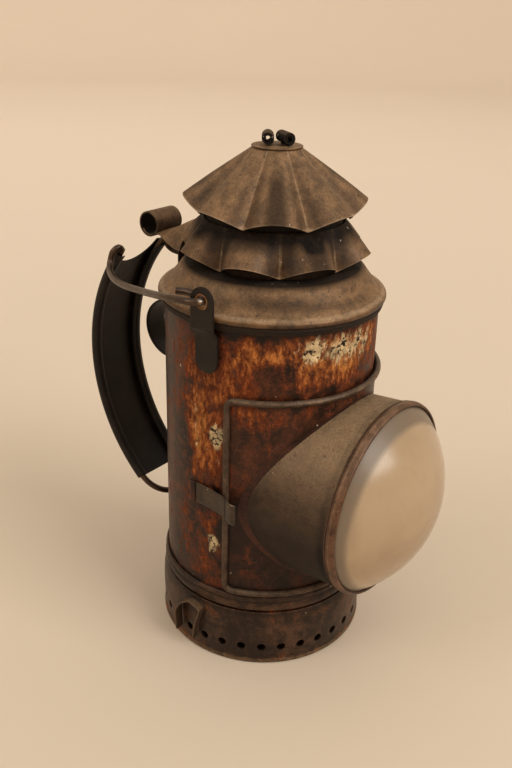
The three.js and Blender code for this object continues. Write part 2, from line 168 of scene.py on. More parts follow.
def soften(outline: np.ndarray, radius: float, steps: int = 5, closed: bool = True) -> np.ndarray:
    """Rounds each corner with a curve of second degree whose middle control point is the corner.

    Args:
        outline: corner points of shape (count, dimensions).
        radius: how far from a corner its curve starts, at most 0.46 of the side.
        steps: points on each curve.
        closed: True where the last corner meets the first; otherwise both ends stay as they are.

    Returns:
        The rounded outline.
    """
    p = np.asarray(outline, float)
    before, after = np.roll(p, 1, 0) - p, np.roll(p, -1, 0) - p
    reach = [np.linalg.norm(v, axis=1, keepdims=True) for v in (before, after)]
    start, stop = (
        p + v / np.maximum(d, 1e-9) * np.minimum(radius, 0.46 * d) for v, d in zip((before, after), reach)
    )
    t = np.linspace(0, 1, steps)[None, :, None]
    curve = (1 - t) ** 2 * start[:, None] + 2 * t * (1 - t) * p[:, None] + t**2 * stop[:, None]
    if closed:
        return curve.reshape(-1, p.shape[1])
    return np.concatenate([p[:1], curve[1:-1].reshape(-1, p.shape[1]), p[-1:]])


def resample(path: np.ndarray, count: int) -> np.ndarray:
    """Spreads a number of points evenly by length along a polyline."""
    path = np.asarray(path, float)
    length = np.concatenate([[0], np.cumsum(np.linalg.norm(np.diff(path, axis=0), axis=1))])
    at = np.linspace(0, length[-1], count)
    return np.stack([np.interp(at, length, path[:, k]) for k in range(path.shape[1])], -1)


def flow(points: np.ndarray, per_span: int = 12) -> np.ndarray:
    """Smooth curve through points: on each span a blend of third degree between two neighbours,
    whose slopes come from the points on either side, timed by the square root of the spacing.

    Args:
        points: the points that the curve passes through.
        per_span: points on each span.

    Returns:
        Points on the curve, both ends included.
    """
    p = np.asarray(points, float)
    p = np.concatenate([2 * p[:1] - p[1:2], p, 2 * p[-1:] - p[-2:-1]])
    gap = np.maximum(np.linalg.norm(np.diff(p, axis=0), axis=1, keepdims=True), 1e-9) ** 0.5
    g0, g1, g2 = gap[:-2], gap[1:-1], gap[2:]
    p0, p1, p2, p3 = p[:-3], p[1:-2], p[2:-1], p[3:]
    out1 = ((p1 - p0) / g0 - (p2 - p0) / (g0 + g1) + (p2 - p1) / g1) * g1
    out2 = ((p2 - p1) / g1 - (p3 - p1) / (g1 + g2) + (p3 - p2) / g2) * g1
    t = (np.arange(per_span) / per_span)[None, :, None]
    curve = (
        (2 * t**3 - 3 * t**2 + 1) * p1[:, None]
        + (t**3 - 2 * t**2 + t) * out1[:, None]
        + (3 * t**2 - 2 * t**3) * p2[:, None]
        + (t**3 - t**2) * out2[:, None]
    )
    return np.concatenate([curve.reshape(-1, p.shape[1]), p[-2:-1]])


def revolve(outline: np.ndarray, axis: Axis = Axis.UPRIGHT, segments: int = 192, closed: bool = True,
            first: float = 0.0) -> Surface:
    """Turns an outline right round an axis: a point at radius r goes to r times the cosine and
    sine of the turn, and keeps its place along the axis.

    Args:
        outline: (radius, place along the axis) points.
        axis: the line to turn about.
        segments: how many steps the full turn takes.
        closed: True for a ring whose outline comes back to its start; False for one that starts
            and ends on the axis or on another surface.
        first: direction of the first step, in degrees.

    Returns:
        The turned surface.
    """
    t = np.radians(first + np.arange(segments) * 360.0 / segments)[:, None]
    r, along = np.asarray(outline, float).T[:, None, :]
    if axis is Axis.UPRIGHT:
        grid = upright(r, t, along + 0 * t)
    else:
        grid = np.stack([r * np.cos(t), along + 0 * t, LENS_HEIGHT + r * np.sin(t)], -1)
    return lattice(grid, joined=True, ring=closed)


def lathe(outline: list[list[float]], ease: float, steps: int, segments: int,
          closed: bool = True, axis: Axis = Axis.UPRIGHT) -> Surface:
    """Rounds an outline's corners as soften does, and turns it about an axis as revolve does.

    Args:
        outline: corners as (radius, place along the axis).
        ease: how far from a corner its curve starts.
        steps: points on each curve.
        segments: how many steps the full turn takes.
        closed: True for a ring whose outline comes back to its start.
        axis: the line to turn about.

    Returns:
        The turned surface.
    """
    return revolve(soften(outline, ease, steps, closed), axis, segments, closed)


def carry(path: np.ndarray, section: np.ndarray, across: np.ndarray, closed: bool = False) -> Surface:
    """Carries a flat section along a path. At each point the section's first direction is the
    part of `across` that is square to the path, and its second is square to both.

    Args:
        path: points of shape (stations, 3).
        section: closed outline of shape (count, 2), or (stations, count, 2) where it changes.
        across: one direction, or one for each station.
        closed: True where the path's end meets its start.

    Returns:
        The swept surface, closed at its ends.
    """
    ahead = np.roll(path, -1, 0) - np.roll(path, 1, 0) if closed else np.gradient(path, axis=0)
    ahead /= np.linalg.norm(ahead, axis=1, keepdims=True)
    side = np.broadcast_to(np.asarray(across, float), path.shape)
    side = side - ahead * np.sum(side * ahead, 1, keepdims=True)
    side /= np.linalg.norm(side, axis=1, keepdims=True)
    up = np.cross(ahead, side)
    section = np.broadcast_to(section, (len(path),) + section.shape[-2:])
    grid = path[:, None] + section[..., :1] * side[:, None] + section[..., 1:] * up[:, None]
    return lattice(grid, joined=closed)


def polar(radius: np.ndarray, turn: np.ndarray) -> np.ndarray:
    """Flat points at a radius and a turn in radians."""
    return np.stack([radius * np.cos(turn), radius * np.sin(turn)], -1)


def upright(radius: np.ndarray, turn: np.ndarray, height: np.ndarray) -> np.ndarray:
    """Points at a radius and a turn in radians round the upright centre line, and a height."""
    return np.stack([radius * np.cos(turn), radius * np.sin(turn), height], -1)


def in_middle(path: np.ndarray) -> np.ndarray:
    """Stands a flat (outward, up) path in the lantern's upright middle plane."""
    return np.stack([np.zeros(len(path)), path[:, 0], path[:, 1]], -1)


def normals(path: np.ndarray) -> np.ndarray:
    """Unit directions square to a flat path: its own direction, a quarter turn to the left."""
    ahead = np.gradient(path, axis=0)
    ahead /= np.linalg.norm(ahead, axis=1, keepdims=True)
    return np.stack([-ahead[:, 1], ahead[:, 0]], -1)


def prism(section: np.ndarray, heights: np.ndarray) -> np.ndarray:
    """Grid of points that repeats a flat section at each height.

    Args:
        section: points of shape (count, 2).
        heights: the heights.

    Returns:
        Points of shape (heights, count, 3).
    """
    shape = (len(heights), len(section))
    flat = np.broadcast_to(section, (*shape, 2))
    return np.concatenate([flat, np.broadcast_to(heights[:, None, None], (*shape, 1))], -1)


def disc(radius: float, count: int = 20) -> np.ndarray:
    """Round section: the cosine and sine of an even turn, times the radius."""
    return polar(radius, np.arange(count) * 2 * np.pi / count)


def slab(width: float, thickness: float, columns: int = 9, rounding: float = 0.3) -> np.ndarray:
    """Section of a flat strip with its four edges rounded, as (across, through) points.

    Args:
        width: size across.
        thickness: size through.
        columns: points along each broad face.
        rounding: how far the edges are rounded.

    Returns:
        The closed outline.
    """
    x = np.linspace(-width / 2, width / 2, columns)
    edge = np.clip((np.abs(x) - width / 2 + rounding) / rounding, 0, 1)
    half = thickness / 2 * np.sqrt(np.maximum(1 - 0.85 * edge**2, 0.05))
    return np.concatenate([np.stack([x, half], -1), np.stack([x, -half], -1)[::-1]])


def pierced(rim: np.ndarray, hole: np.ndarray, steps: int, place: Placer,
            skins: tuple[float, float]) -> Surface:
    """Sheet with one hole. Each line of the sheet runs straight from a hole point to the rim
    point of the same number, on the outer skin, and comes back on the inner one.

    Args:
        rim: outer boundary points in the sheet's own two coordinates.
        hole: hole boundary points, as many as the rim has.
        steps: how many steps each line takes.
        place: function of (first coordinate, second coordinate, skin) giving points.
        skins: the skin values of the outer and inner faces.

    Returns:
        The closed sheet.
    """
    s = np.linspace(0, 1, steps)[None, :, None]
    flat = hole[:, None] * (1 - s) + rim[:, None] * s
    outer = place(flat[..., 0], flat[..., 1], skins[0])
    inner = place(flat[..., 0], flat[..., 1], skins[1])
    return lattice(np.concatenate([outer, inner[:, ::-1]], 1), joined=True)


def box_loop(left: float, right: float, low: float, high: float, per_side: tuple[int, int]) -> np.ndarray:
    """Corner-started loop round a rectangle, counter-clockwise from its lower left corner.

    Args:
        left: first coordinate of the left side.
        right: first coordinate of the right side.
        low: second coordinate of the lower side.
        high: second coordinate of the upper side.
        per_side: steps along the lower and upper sides, and along the other two.

    Returns:
        The loop's points.
    """
    a = np.arange(per_side[0])[:, None] / per_side[0]
    b = np.arange(per_side[1])[:, None] / per_side[1]
    corner = [np.array(c, float) for c in ((left, low), (right, low), (right, high), (left, high))]
    sides = [(0, 1, a), (1, 2, b), (2, 3, a), (3, 0, b)]
    return np.concatenate([corner[i] + (corner[k] - corner[i]) * t for i, k, t in sides])


def round_sheet(radii: tuple[float, float]) -> Placer:
    """Placer for a sheet on a cylinder: (direction in degrees, height, skin) to a point, where
    skin 0 is the outer radius and 1 the inner."""

    def place(turn: np.ndarray, height: np.ndarray, skin: float) -> np.ndarray:
        """Puts a point at the skin's radius in that direction, at that height."""
        r = radii[0] + (radii[1] - radii[0]) * skin
        return upright(r, np.radians(turn), height)

    return place


def spot(surface: Surface, turn: float, height: float, wide: float, tall: float) -> np.ndarray:
    """Soft patch round a direction and height: the bell curve of both distances.

    Args:
        surface: what the patch lies on.
        turn: direction of its middle, in degrees.
        height: height of its middle.
        wide: its spread in degrees.
        tall: its spread in millimetres.

    Returns:
        The amount at each point.
    """
    aside = (surface.angle - turn + 180) % 360 - 180
    return np.exp(-((aside / wide) ** 2) - ((surface.height - height) / tall) ** 2)


def patches(surface: Surface, *rows: tuple[float, ...]) -> np.ndarray:
    """Sum of soft patches, each row holding its strength and then its spot."""
    return sum(row[0] * spot(surface, *row[1:]) for row in rows)


def near(values: np.ndarray, target: float, spread: float) -> np.ndarray:
    """Soft band where values come within a spread of a target."""
    return np.exp(-(((values - target) / spread) ** 2))


# ---------------------------------------------------------------- finishes

Colour = tuple[float, float, float]


class Graph:
    """Builds one material's nodes; every method gives back the socket that holds its result."""

    def __init__(self, name: str) -> None:
        """Starts an empty material of that name."""
        self.material = bpy.data.materials.new(name)
        self.material.use_nodes = True
        self.tree = self.material.node_tree
        self.tree.nodes.clear()
        self.where = self.node("ShaderNodeTexCoord").outputs["Object"]

    def node(self, kind: str, **settings: object) -> bpy.types.Node:
        """Adds a node of a kind and sets its properties."""
        made = self.tree.nodes.new(kind)
        for name, value in settings.items():
            setattr(made, name, value)
        return made

    def feed(self, socket: bpy.types.NodeSocket, value: object) -> None:
        """Links a socket, or sets a number or colour on it."""
        if isinstance(value, bpy.types.NodeSocket):
            self.tree.links.new(value, socket)
        elif isinstance(value, tuple) and len(socket.default_value) == 4:
            socket.default_value = (*value, 1.0)
        else:
            socket.default_value = value

    def stretched(self, x: float = 1, y: float = 1, z: float = 1) -> bpy.types.NodeSocket:
        """The piece's own coordinates, scaled along each direction."""
        made = self.node("ShaderNodeMapping")
        self.feed(made.inputs["Vector"], self.where)
        made.inputs["Scale"].default_value = (x, y, z)
        return made.outputs["Vector"]

    def noise(self, scale: float, detail: float = 5, rough: float = 0.55, twist: float = 0,
              where: bpy.types.NodeSocket | None = None) -> bpy.types.NodeSocket:
        """Cloudy pattern from 0 to 1.

        Args:
            scale: how many features fit in a metre.
            detail: how many finer layers are added.
            rough: how strong the finer layers are.
            twist: how much the pattern is bent by itself.
            where: coordinates to use, the piece's own when left out.

        Returns:
            The pattern.
        """
        made = self.node("ShaderNodeTexNoise")
        self.feed(made.inputs["Vector"], where or self.where)
        for name, value in (
            ("Scale", scale), ("Detail", detail), ("Roughness", rough), ("Distortion", twist),
        ):
            made.inputs[name].default_value = value
        return made.outputs["Fac"]

    def mark(self, mark: Mark) -> bpy.types.NodeSocket:
        """The amount that the mesh carries under that mark."""
        return self.node("ShaderNodeAttribute", attribute_name=mark.value).outputs["Fac"]

    def maths(self, operation: str, a: object, b: object = 0.0) -> bpy.types.NodeSocket:
        """One operation on two numbers, kept within 0 to 1."""
        made = self.node("ShaderNodeMath", operation=operation, use_clamp=True)
        self.feed(made.inputs[0], a)
        self.feed(made.inputs[1], b)
        return made.outputs[0]

    def times(self, a: object, b: object) -> bpy.types.NodeSocket:
        """Product of two numbers, kept within 0 to 1."""
        return self.maths("MULTIPLY", a, b)

    def total(self, *terms: object) -> bpy.types.NodeSocket:
        """Adds patterns one after another, each sum kept within 0 to 1.

        Args:
            terms: each is a pattern, or a pattern with the share of it that counts.

        Returns:
            The sum.
        """
        parts = [self.times(*term) if isinstance(term, tuple) else term for term in terms]
        result = parts[0]
        for part in parts[1:]:
            result = self.maths("ADD", result, part)
        return result

    def level(self, value: bpy.types.NodeSocket, low: float, high: float) -> bpy.types.NodeSocket:
        """Smoothly turns a value from 0 at low to 1 at high."""
        made = self.node("ShaderNodeMapRange", interpolation_type="SMOOTHSTEP")
        self.feed(made.inputs["Value"], value)
        made.inputs["From Min"].default_value = low
        made.inputs["From Max"].default_value = high
        return made.outputs["Result"]

    def blend(self, share: object, a: object, b: object) -> bpy.types.NodeSocket:
        """Colour a where the share is 0 and colour b where it is 1."""
        made = self.node("ShaderNodeMix", data_type="RGBA")
        self.feed(made.inputs[0], share)
        self.feed(made.inputs[6], a)
        self.feed(made.inputs[7], b)
        return made.outputs[2]

    def vary(self, colour: object, pattern: object, low: float, high: float) -> bpy.types.NodeSocket:
        """The colour times a number that goes from low to high with the pattern."""
        made = self.node("ShaderNodeMix", data_type="RGBA", blend_type="MULTIPLY")
        made.inputs[0].default_value = 1.0
        self.feed(made.inputs[6], colour)
        self.feed(made.inputs[7], self.amount(pattern, low, high))
        return made.outputs[2]

    def amount(self, share: object, a: float, b: float) -> bpy.types.NodeSocket:
        """Number a where the share is 0 and number b where it is 1."""
        made = self.node("ShaderNodeMapRange")
        self.feed(made.inputs["Value"], share)
        made.inputs["To Min"].default_value = a
        made.inputs["To Max"].default_value = b
        return made.outputs["Result"]

    def upward(self) -> bpy.types.NodeSocket:
        """1 where the surface looks up and 0 where it looks level or down."""
        split = self.node("ShaderNodeSeparateXYZ")
        self.feed(split.inputs[0], self.node("ShaderNodeTexCoord").outputs["Normal"])
        return self.maths("MAXIMUM", split.outputs["Z"], 0.0)

    def shade(self, colour: object, rough: object, height: object = None, depth: float = 0.0001,
              **constants: object) -> bpy.types.Material:
        """Ends the material in one surface shader.

        Args:
            colour: base colour.
            rough: roughness.
            height: pattern that raises the surface, if any.
            depth: how far the pattern raises it, in metres.
            constants: other shader inputs by name, with underscores for spaces.

        Returns:
            The finished material.
        """
        shader = self.node("ShaderNodeBsdfPrincipled")
        self.feed(shader.inputs["Base Color"], colour)
        self.feed(shader.inputs["Roughness"], rough)
        for name, value in constants.items():
            self.feed(shader.inputs[name.replace("_", " ")], value)
        if height is not None:
            bump = self.node("ShaderNodeBump")
            bump.inputs["Strength"].default_value = 1.0
            bump.inputs["Distance"].default_value = depth
            self.feed(bump.inputs["Height"], height)
            self.feed(shader.inputs["Normal"], bump.outputs["Normal"])
        self.feed(self.node("ShaderNodeOutputMaterial").inputs["Surface"], shader.outputs[0])
        return self.material


@dataclass(frozen=True)
class JapannedTin:
    """Tinplate under brown-black lacquer, rusted in upright streaks and bare in flecks."""

    name: str = "japanned_tin_worn"
    lacquer: Colour = (0.013, 0.0056, 0.0036)
    faded: Colour = (0.088, 0.0255, 0.0100)
    deep_rust: Colour = (0.190, 0.040, 0.0085)
    orange_rust: Colour = (0.44, 0.17, 0.040)
    cream: Colour = (0.66, 0.52, 0.30)
    rustiness: float = 0.0

    def build(self) -> bpy.types.Material:
        """Lacquer, then streaks of rust where noise and the rust mark pass a threshold, then
        flecks with dark pits where the bare mark does, then worn edges and white specks of painted glint."""
        g = Graph(self.name)
        tall = g.stretched(1, 1, 0.28)
        cloud = g.noise(34, 5, 0.62, 0.4)
        streak = g.noise(260, 7, 0.68, 0.4, tall)
        hair = g.noise(620, 5, 0.65, 0.3, g.stretched(1, 1, 0.45))
        grain = g.noise(1500, 4, 0.6)
        mottle = g.noise(170, 8, 0.72, 0.6)
        lacquer = g.blend(
            g.level(g.total((cloud, 0.45), (mottle, 0.55)), 0.42, 0.6), self.lacquer, self.faded,
        )
        fields = g.total((cloud, 0.32), (streak, 0.34), (mottle, 0.34), (g.mark(Mark.RUST), 0.15))
        rusted = g.level(fields, 0.515 - self.rustiness, 0.64 - self.rustiness)
        heart = g.total((fields, 0.6), (hair, 0.3), (g.mark(Mark.RUST), 0.08))
        rust = g.blend(g.level(heart, 0.53, 0.72), self.deep_rust, self.orange_rust)
        rust = g.vary(rust, g.level(hair, 0.3, 0.7), 0.45, 1.35)
        colour = g.blend(g.times(rusted, 0.94), lacquer, rust)
        colour = g.vary(colour, g.level(grain, 0.32, 0.68), 0.72, 1.25)
        flake = g.total((g.noise(330, 6, 0.74, 0.4, g.stretched(1, 1, 0.42)), 0.66), (g.mark(Mark.BARE), 0.3))
        fleck = g.level(g.total(flake, (hair, 0.2)), 0.6, 0.7)
        paint = g.vary(self.cream, g.level(mottle, 0.35, 0.65), 0.6, 1.15)
        colour = g.blend(g.times(fleck, 0.85), colour, paint)
        pits = g.times(g.level(g.noise(560, 4, 0.65), 0.5, 0.58), fleck)
        colour = g.blend(pits, colour, self.lacquer)
        scrape = g.level(g.total((g.mark(Mark.WEAR_AND_HIGHLIGHT), 0.55), (g.noise(360, 7, 0.72), 0.55)), 0.52, 0.86)
        colour = g.blend(g.times(scrape, 0.8), colour, (0.2, 0.12, 0.062))
        # painted glint: sparse pale specks standing for light catching the lacquer
        painted_glint = g.level(g.noise(480, 2, 0.4), 0.765, 0.79)
        colour = g.blend(g.times(painted_glint, 0.75), colour, (0.55, 0.45, 0.32))
        # darkening from the mark: smoke stains, and painted shade where pieces lay it
        colour = g.blend(g.times(g.mark(Mark.SOOT_AND_SHADE), 0.88), colour, (0.0075, 0.005, 0.004))
        rough = g.amount(g.total(rusted, (grain, 0.4)), 0.26, 0.8)
        relief = g.total((rusted, 0.3), (mottle, 0.5), (grain, 0.12))
        return g.shade(colour, rough, relief, 0.00030, Specular_IOR_Level=0.2)


@dataclass(frozen=True)
class BronzedTin:
    """Tinplate browned by heat and covered in tan dust, darker where its mark lays smoke stains and painted
    shade.
    """

    name: str = "bronzed_tin_dusty"
    dark: Colour = (0.040, 0.024, 0.015)
    brown: Colour = (0.130, 0.069, 0.033)
    dust: Colour = (0.310, 0.183, 0.088)
    dustiness: float = 0.7
    shine: float = 0.3
    blotch: float = 0.17

    def build(self) -> bpy.types.Material:
        """Two browns mixed by noise, a reddish tint, dust on what looks up, then rubbed edges that also stand
        for painted highlight, smoke stains and painted shade by the mark, and pale specks of painted glint."""
        g = Graph(self.name)
        cloud = g.noise(42, 6, 0.65, 0.5)
        mottle = g.noise(210, 8, 0.72, 0.4)
        grain = g.noise(1600, 4, 0.6)
        base = g.blend(g.level(g.total((cloud, 0.5), (mottle, 0.5)), 0.38, 0.62), self.dark, self.brown)
        base = g.blend(
            g.times(g.level(g.noise(120, 6, 0.7, 0.8), 0.55, 0.72), 0.5), base, (0.155, 0.062, 0.03),
        )
        lie = g.times(g.level(g.upward(), 0.12, 0.85), self.dustiness)
        lie = g.times(lie, g.amount(g.level(mottle, 0.32, 0.62), 1 - 2.4 * self.blotch, 1.0))
        colour = g.blend(lie, base, self.dust)
        # rubbed edges from the mark; on ruffle creases and bead crests this lighter tan is also painted
        # highlight
        rub = g.total((g.mark(Mark.WEAR_AND_HIGHLIGHT), 0.66), (g.noise(280, 7, 0.72), 0.44))
        colour = g.blend(g.times(g.level(rub, 0.5, 0.86), 0.8), colour, (0.4, 0.275, 0.165))
        # darkening from the mark: smoke stains, and painted shade under, between and behind parts
        smoke_and_shade = g.times(g.mark(Mark.SOOT_AND_SHADE), g.amount(mottle, 0.72, 1.25))
        colour = g.blend(smoke_and_shade, colour, (0.0085, 0.0058, 0.0045))
        colour = g.vary(colour, g.level(mottle, 0.36, 0.64), 1 - self.blotch, 1 + 0.8 * self.blotch)
        colour = g.vary(colour, g.level(grain, 0.3, 0.7), 0.78, 1.2)
        dots = g.times(g.level(g.noise(640, 3, 0.5), 0.655, 0.7), 0.6)
        colour = g.blend(dots, colour, self.dark)
        # painted glint: sparse pale specks standing for light catching the surface
        painted_glint = g.level(g.noise(560, 2, 0.4), 0.765, 0.79)
        colour = g.blend(g.times(painted_glint, 0.6), colour, (0.55, 0.47, 0.37))
        rough = g.amount(g.total((lie, 0.6), (mottle, 0.5)), 0.3, 0.76)
        rough = g.total(rough, (g.mark(Mark.SOOT_AND_SHADE), 0.4))
        relief = g.total((grain, 0.25), (mottle, 0.6))
        return g.shade(colour, rough, relief, 0.00020, Metallic=self.shine, Specular_IOR_Level=0.35)


@dataclass(frozen=True)
class BlackTin:
    """Near-black painted tin, rubbed brown and grey on its edges."""

    name: str = "black_tin_rubbed"
    paint: Colour = (0.0075, 0.0048, 0.0035)
    rubbed: Colour = (0.050, 0.030, 0.019)

    def build(self) -> bpy.types.Material:
        """Black varied by noise, rubbed where the wear mark and noise agree."""
        g = Graph(self.name)
        cloud = g.noise(60, 6, 0.65, 0.5)
        grain = g.noise(1200, 4, 0.6)
        colour = g.blend(g.level(cloud, 0.4, 0.72), self.paint, (0.018, 0.0115, 0.0078))
        rub = g.level(g.total((g.mark(Mark.WEAR_AND_HIGHLIGHT), 0.6), (g.noise(300, 6, 0.7), 0.5)), 0.5, 0.86)
        colour = g.blend(rub, colour, self.rubbed)
        rust = g.level(g.total((g.mark(Mark.RUST), 0.5), (g.noise(480, 5, 0.7), 0.5)), 0.58, 0.74)
        colour = g.blend(rust, colour, (0.33, 0.135, 0.035))
        rough = g.amount(g.total((cloud, 0.5), (grain, 0.4)), 0.34, 0.72)
        relief = g.total((grain, 0.4), (g.noise(500, 5, 0.6), 0.5))
        return g.shade(colour, rough, relief, 0.00010, Metallic=0.1, Specular_IOR_Level=0.28)


@dataclass(frozen=True)
class AgedWire:
    """Steel wire with a brown skin, bright where hands have rubbed it."""

    name: str = "steel_wire_aged"
    skin: Colour = (0.085, 0.055, 0.036)
    bright: Colour = (0.42, 0.36, 0.30)

    def build(self) -> bpy.types.Material:
        """Brown skin opened to bright steel by stretched noise and the wear mark."""
        g = Graph(self.name)
        scuff = g.noise(190, 6, 0.7, 0.6)
        grain = g.noise(1400, 4, 0.6)
        colour = g.blend(g.level(g.noise(70, 5, 0.6), 0.38, 0.66), (0.048, 0.030, 0.021), self.skin)
        open_ = g.level(g.total((g.mark(Mark.WEAR_AND_HIGHLIGHT), 0.4), (scuff, 0.62)), 0.52, 0.76)
        colour = g.blend(g.times(open_, 0.8), colour, self.bright)
        rust = g.level(g.noise(360, 5, 0.7), 0.60, 0.72)
        colour = g.blend(g.times(rust, 0.6), colour, (0.16, 0.062, 0.022))
        rough = g.amount(g.total((grain, 0.4), (rust, 0.4)), 0.22, 0.62)
        return g.shade(colour, rough, grain, 0.00007, Metallic=0.75)


@dataclass(frozen=True)
class BrightTin:
    """Dull grey tin of the inner parts, clouded by heat and smoked."""

    name: str = "bright_tin_smoked"
    tin: Colour = (0.46, 0.44, 0.40)
    smoke: Colour = (0.035, 0.030, 0.026)

    def build(self) -> bpy.types.Material:
        """Grey tin with tan clouds, smoked by noise and the soot mark, with rust freckles."""
        g = Graph(self.name)
        cloud = g.noise(48, 6, 0.62, 0.5)
        grain = g.noise(1200, 4, 0.6)
        colour = g.blend(g.level(cloud, 0.42, 0.68), self.tin, (0.27, 0.22, 0.155))
        smoke = g.level(g.total((g.noise(90, 5, 0.6), 0.6), (g.mark(Mark.SOOT_AND_SHADE), 0.6)), 0.42, 0.82)
        colour = g.blend(g.times(smoke, 0.85), colour, self.smoke)
        freckle = g.level(g.noise(520, 5, 0.7), 0.63, 0.70)
        colour = g.blend(g.times(freckle, 0.7), colour, (0.18, 0.075, 0.025))
        rough = g.amount(g.total((smoke, 0.5), (grain, 0.35)), 0.22, 0.72)
        return g.shade(colour, rough, g.total(grain, (freckle, 0.5)), 8e-05, Metallic=0.8)


@dataclass(frozen=True)
class BurnerBrass:
    """Brass of the burner, browned by heat."""

    name: str = "burner_brass_toned"
    brass: Colour = (0.48, 0.31, 0.11)
    tarnish: Colour = (0.105, 0.060, 0.026)

    def build(self) -> bpy.types.Material:
        """Brass mixed with tarnish by cloudy noise, with fine grain in its roughness."""
        g = Graph(self.name)
        cloud = g.noise(130, 6, 0.66, 0.6)
        grain = g.noise(1500, 4, 0.6)
        colour = g.blend(g.level(cloud, 0.38, 0.62), self.brass, self.tarnish)
        colour = g.blend(g.times(g.mark(Mark.SOOT_AND_SHADE), 0.9), colour, (0.012, 0.01, 0.009))
        rough = g.amount(g.total((cloud, 0.5), (grain, 0.3)), 0.2, 0.66)
        return g.shade(colour, rough, grain, 0.00006, Metallic=0.9)


@dataclass(frozen=True)
class CloudedGlass:
    """Thick cast glass gone milky, with a ring of painted shade near its rim, where it thins."""

    name: str = "lens_glass_clouded"
    milk: Colour = (0.53, 0.390, 0.248)
    film: Colour = (0.42, 0.295, 0.180)
    # colour of the painted shade ring near the rim
    rim: Colour = (0.20, 0.150, 0.105)

    def build(self) -> bpy.types.Material:
        """Milky body varied by slow noise, film in wisps, and the rim colour, a painted shade, by its mark.
        """
        g = Graph(self.name)
        cloud = g.noise(24, 4, 0.55, 0.6)
        wisp = g.noise(75, 6, 0.65, 1.1)
        colour = g.blend(g.level(cloud, 0.34, 0.68), self.milk, self.film)
        colour = g.blend(g.times(g.level(wisp, 0.5, 0.72), 0.35), colour, self.film)
        # painted shade: the ring near the rim, laid by the mark
        colour = g.blend(g.mark(Mark.SOOT_AND_SHADE), colour, self.rim)
        rough = g.total(g.amount(wisp, 0.15, 0.3), (g.mark(Mark.SOOT_AND_SHADE), 0.3))
        return g.shade(colour, rough, g.noise(60, 3), 0.00004, Transmission_Weight=0.22, IOR=1.5,
                       Coat_Weight=0.25, Coat_Roughness=0.22, Specular_IOR_Level=0.4)


@dataclass(frozen=True)
class WovenWick:
    """Plaited cotton, charred at the top."""

    name: str = "wick_cotton_charred"
    cotton: Colour = (0.55, 0.47, 0.34)
    charred: Colour = (0.012, 0.010, 0.009)

    def build(self) -> bpy.types.Material:
        """Crossing bands for the plait, darkened by the soot mark and by noise."""
        g = Graph(self.name)
        rib = g.node("ShaderNodeTexWave", wave_type="BANDS", bands_direction="Z")
        g.feed(rib.inputs["Vector"], g.stretched())
        rib.inputs["Scale"].default_value = 260
        rib.inputs["Distortion"].default_value = 3.0
        colour = g.blend(rib.outputs["Fac"], (0.36, 0.30, 0.21), self.cotton)
        colour = g.blend(g.level(g.noise(300, 5), 0.5, 0.8), colour, (0.20, 0.15, 0.10))
        colour = g.blend(g.mark(Mark.SOOT_AND_SHADE), colour, self.charred)
        return g.shade(colour, 0.95, rib.outputs["Fac"], 0.0002, Sheen_Weight=0.2)


@dataclass(frozen=True)
class FloorPaper:
    """Plain warm paper sweep."""

    name: str = "floor_paper"
    tone: Colour = (0.72, 0.605, 0.475)

    def build(self) -> bpy.types.Material:
        """One tone with a barely seen tooth."""
        g = Graph(self.name)
        colour = g.blend(g.noise(3, 2), self.tone, tuple(0.97 * c for c in self.tone))
        return g.shade(colour, 0.9, None, Specular_IOR_Level=0.1)


# ---------------------------------------------------------------- putting pieces in the scene


@dataclass
class Workshop:
    """Makes scene objects of surfaces and dresses them."""

    finishes: dict[str, bpy.types.Material] = field(default_factory=dict)

    def finish(self, finish: object) -> bpy.types.Material:
        """The material of a finish, built once."""
        if finish.name not in self.finishes:
            self.finishes[finish.name] = finish.build()
        return self.finishes[finish.name]

    def piece(self, name: str, surface: Surface, finish: object, body: str,
              stands_for: tuple[str, ...] = (), sharp: float = 38.0, bevel: float = 0.0) -> bpy.types.Object:
        """Writes a surface into a mesh, closes its seams, and sets it on its body.

        Args:
            name: name of the piece.
            surface: its shape and marks.
            finish: the finish that it wears.
            body: the moving body that it rides on.
            stands_for: model nodes that it takes the place of.
            sharp: edges bent by more than this many degrees stay sharp.
            bevel: width in millimetres by which sharp edges are rounded, 0 for none.

        Returns:
            The object.
        """
        mesh = bpy.data.meshes.new(name)
        points = (surface.points * MM).astype(np.float32)
        mesh.vertices.add(len(points))
        mesh.vertices.foreach_set("co", points.ravel())
        mesh.loops.add(surface.faces.size)
        mesh.loops.foreach_set("vertex_index", surface.faces.astype(np.int32).ravel())
        mesh.polygons.add(len(surface.faces))
        mesh.polygons.foreach_set("loop_start", np.arange(0, surface.faces.size, 4, dtype=np.int32))
        mesh.update(calc_edges=True)
        for mark in Mark:
            layer = mesh.attributes.new(mark.value, "FLOAT", "POINT")
            layer.data.foreach_set("value", surface.marks.get(mark, np.zeros(len(points))).astype(np.float32))
        work = bmesh.new()
        work.from_mesh(mesh)
        bmesh.ops.remove_doubles(work, verts=work.verts, dist=WELD)
        bmesh.ops.recalc_face_normals(work, faces=work.faces)
        open_edges = sum(not e.is_manifold for e in work.edges)
        work.to_mesh(mesh)
        work.free()
        mesh.shade_smooth()
        mesh.set_sharp_from_angle(angle=np.radians(sharp))
        thing = bpy.data.objects.new(name, mesh)
        bpy.context.scene.collection.objects.link(thing)
        mesh.materials.append(self.finish(finish))
        if bevel:
            made = thing.modifiers.new("eased_edges", "BEVEL")
            made.width, made.segments, made.angle_limit = bevel * MM, 2, np.radians(max(sharp, 35))
            made.harden_normals = False
        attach(thing, body)
        if stands_for:
            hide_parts(*stands_for)
        LOG.info("%s: %d faces, %d open edges, on %s", name, len(mesh.polygons), open_edges, body)
        return thing


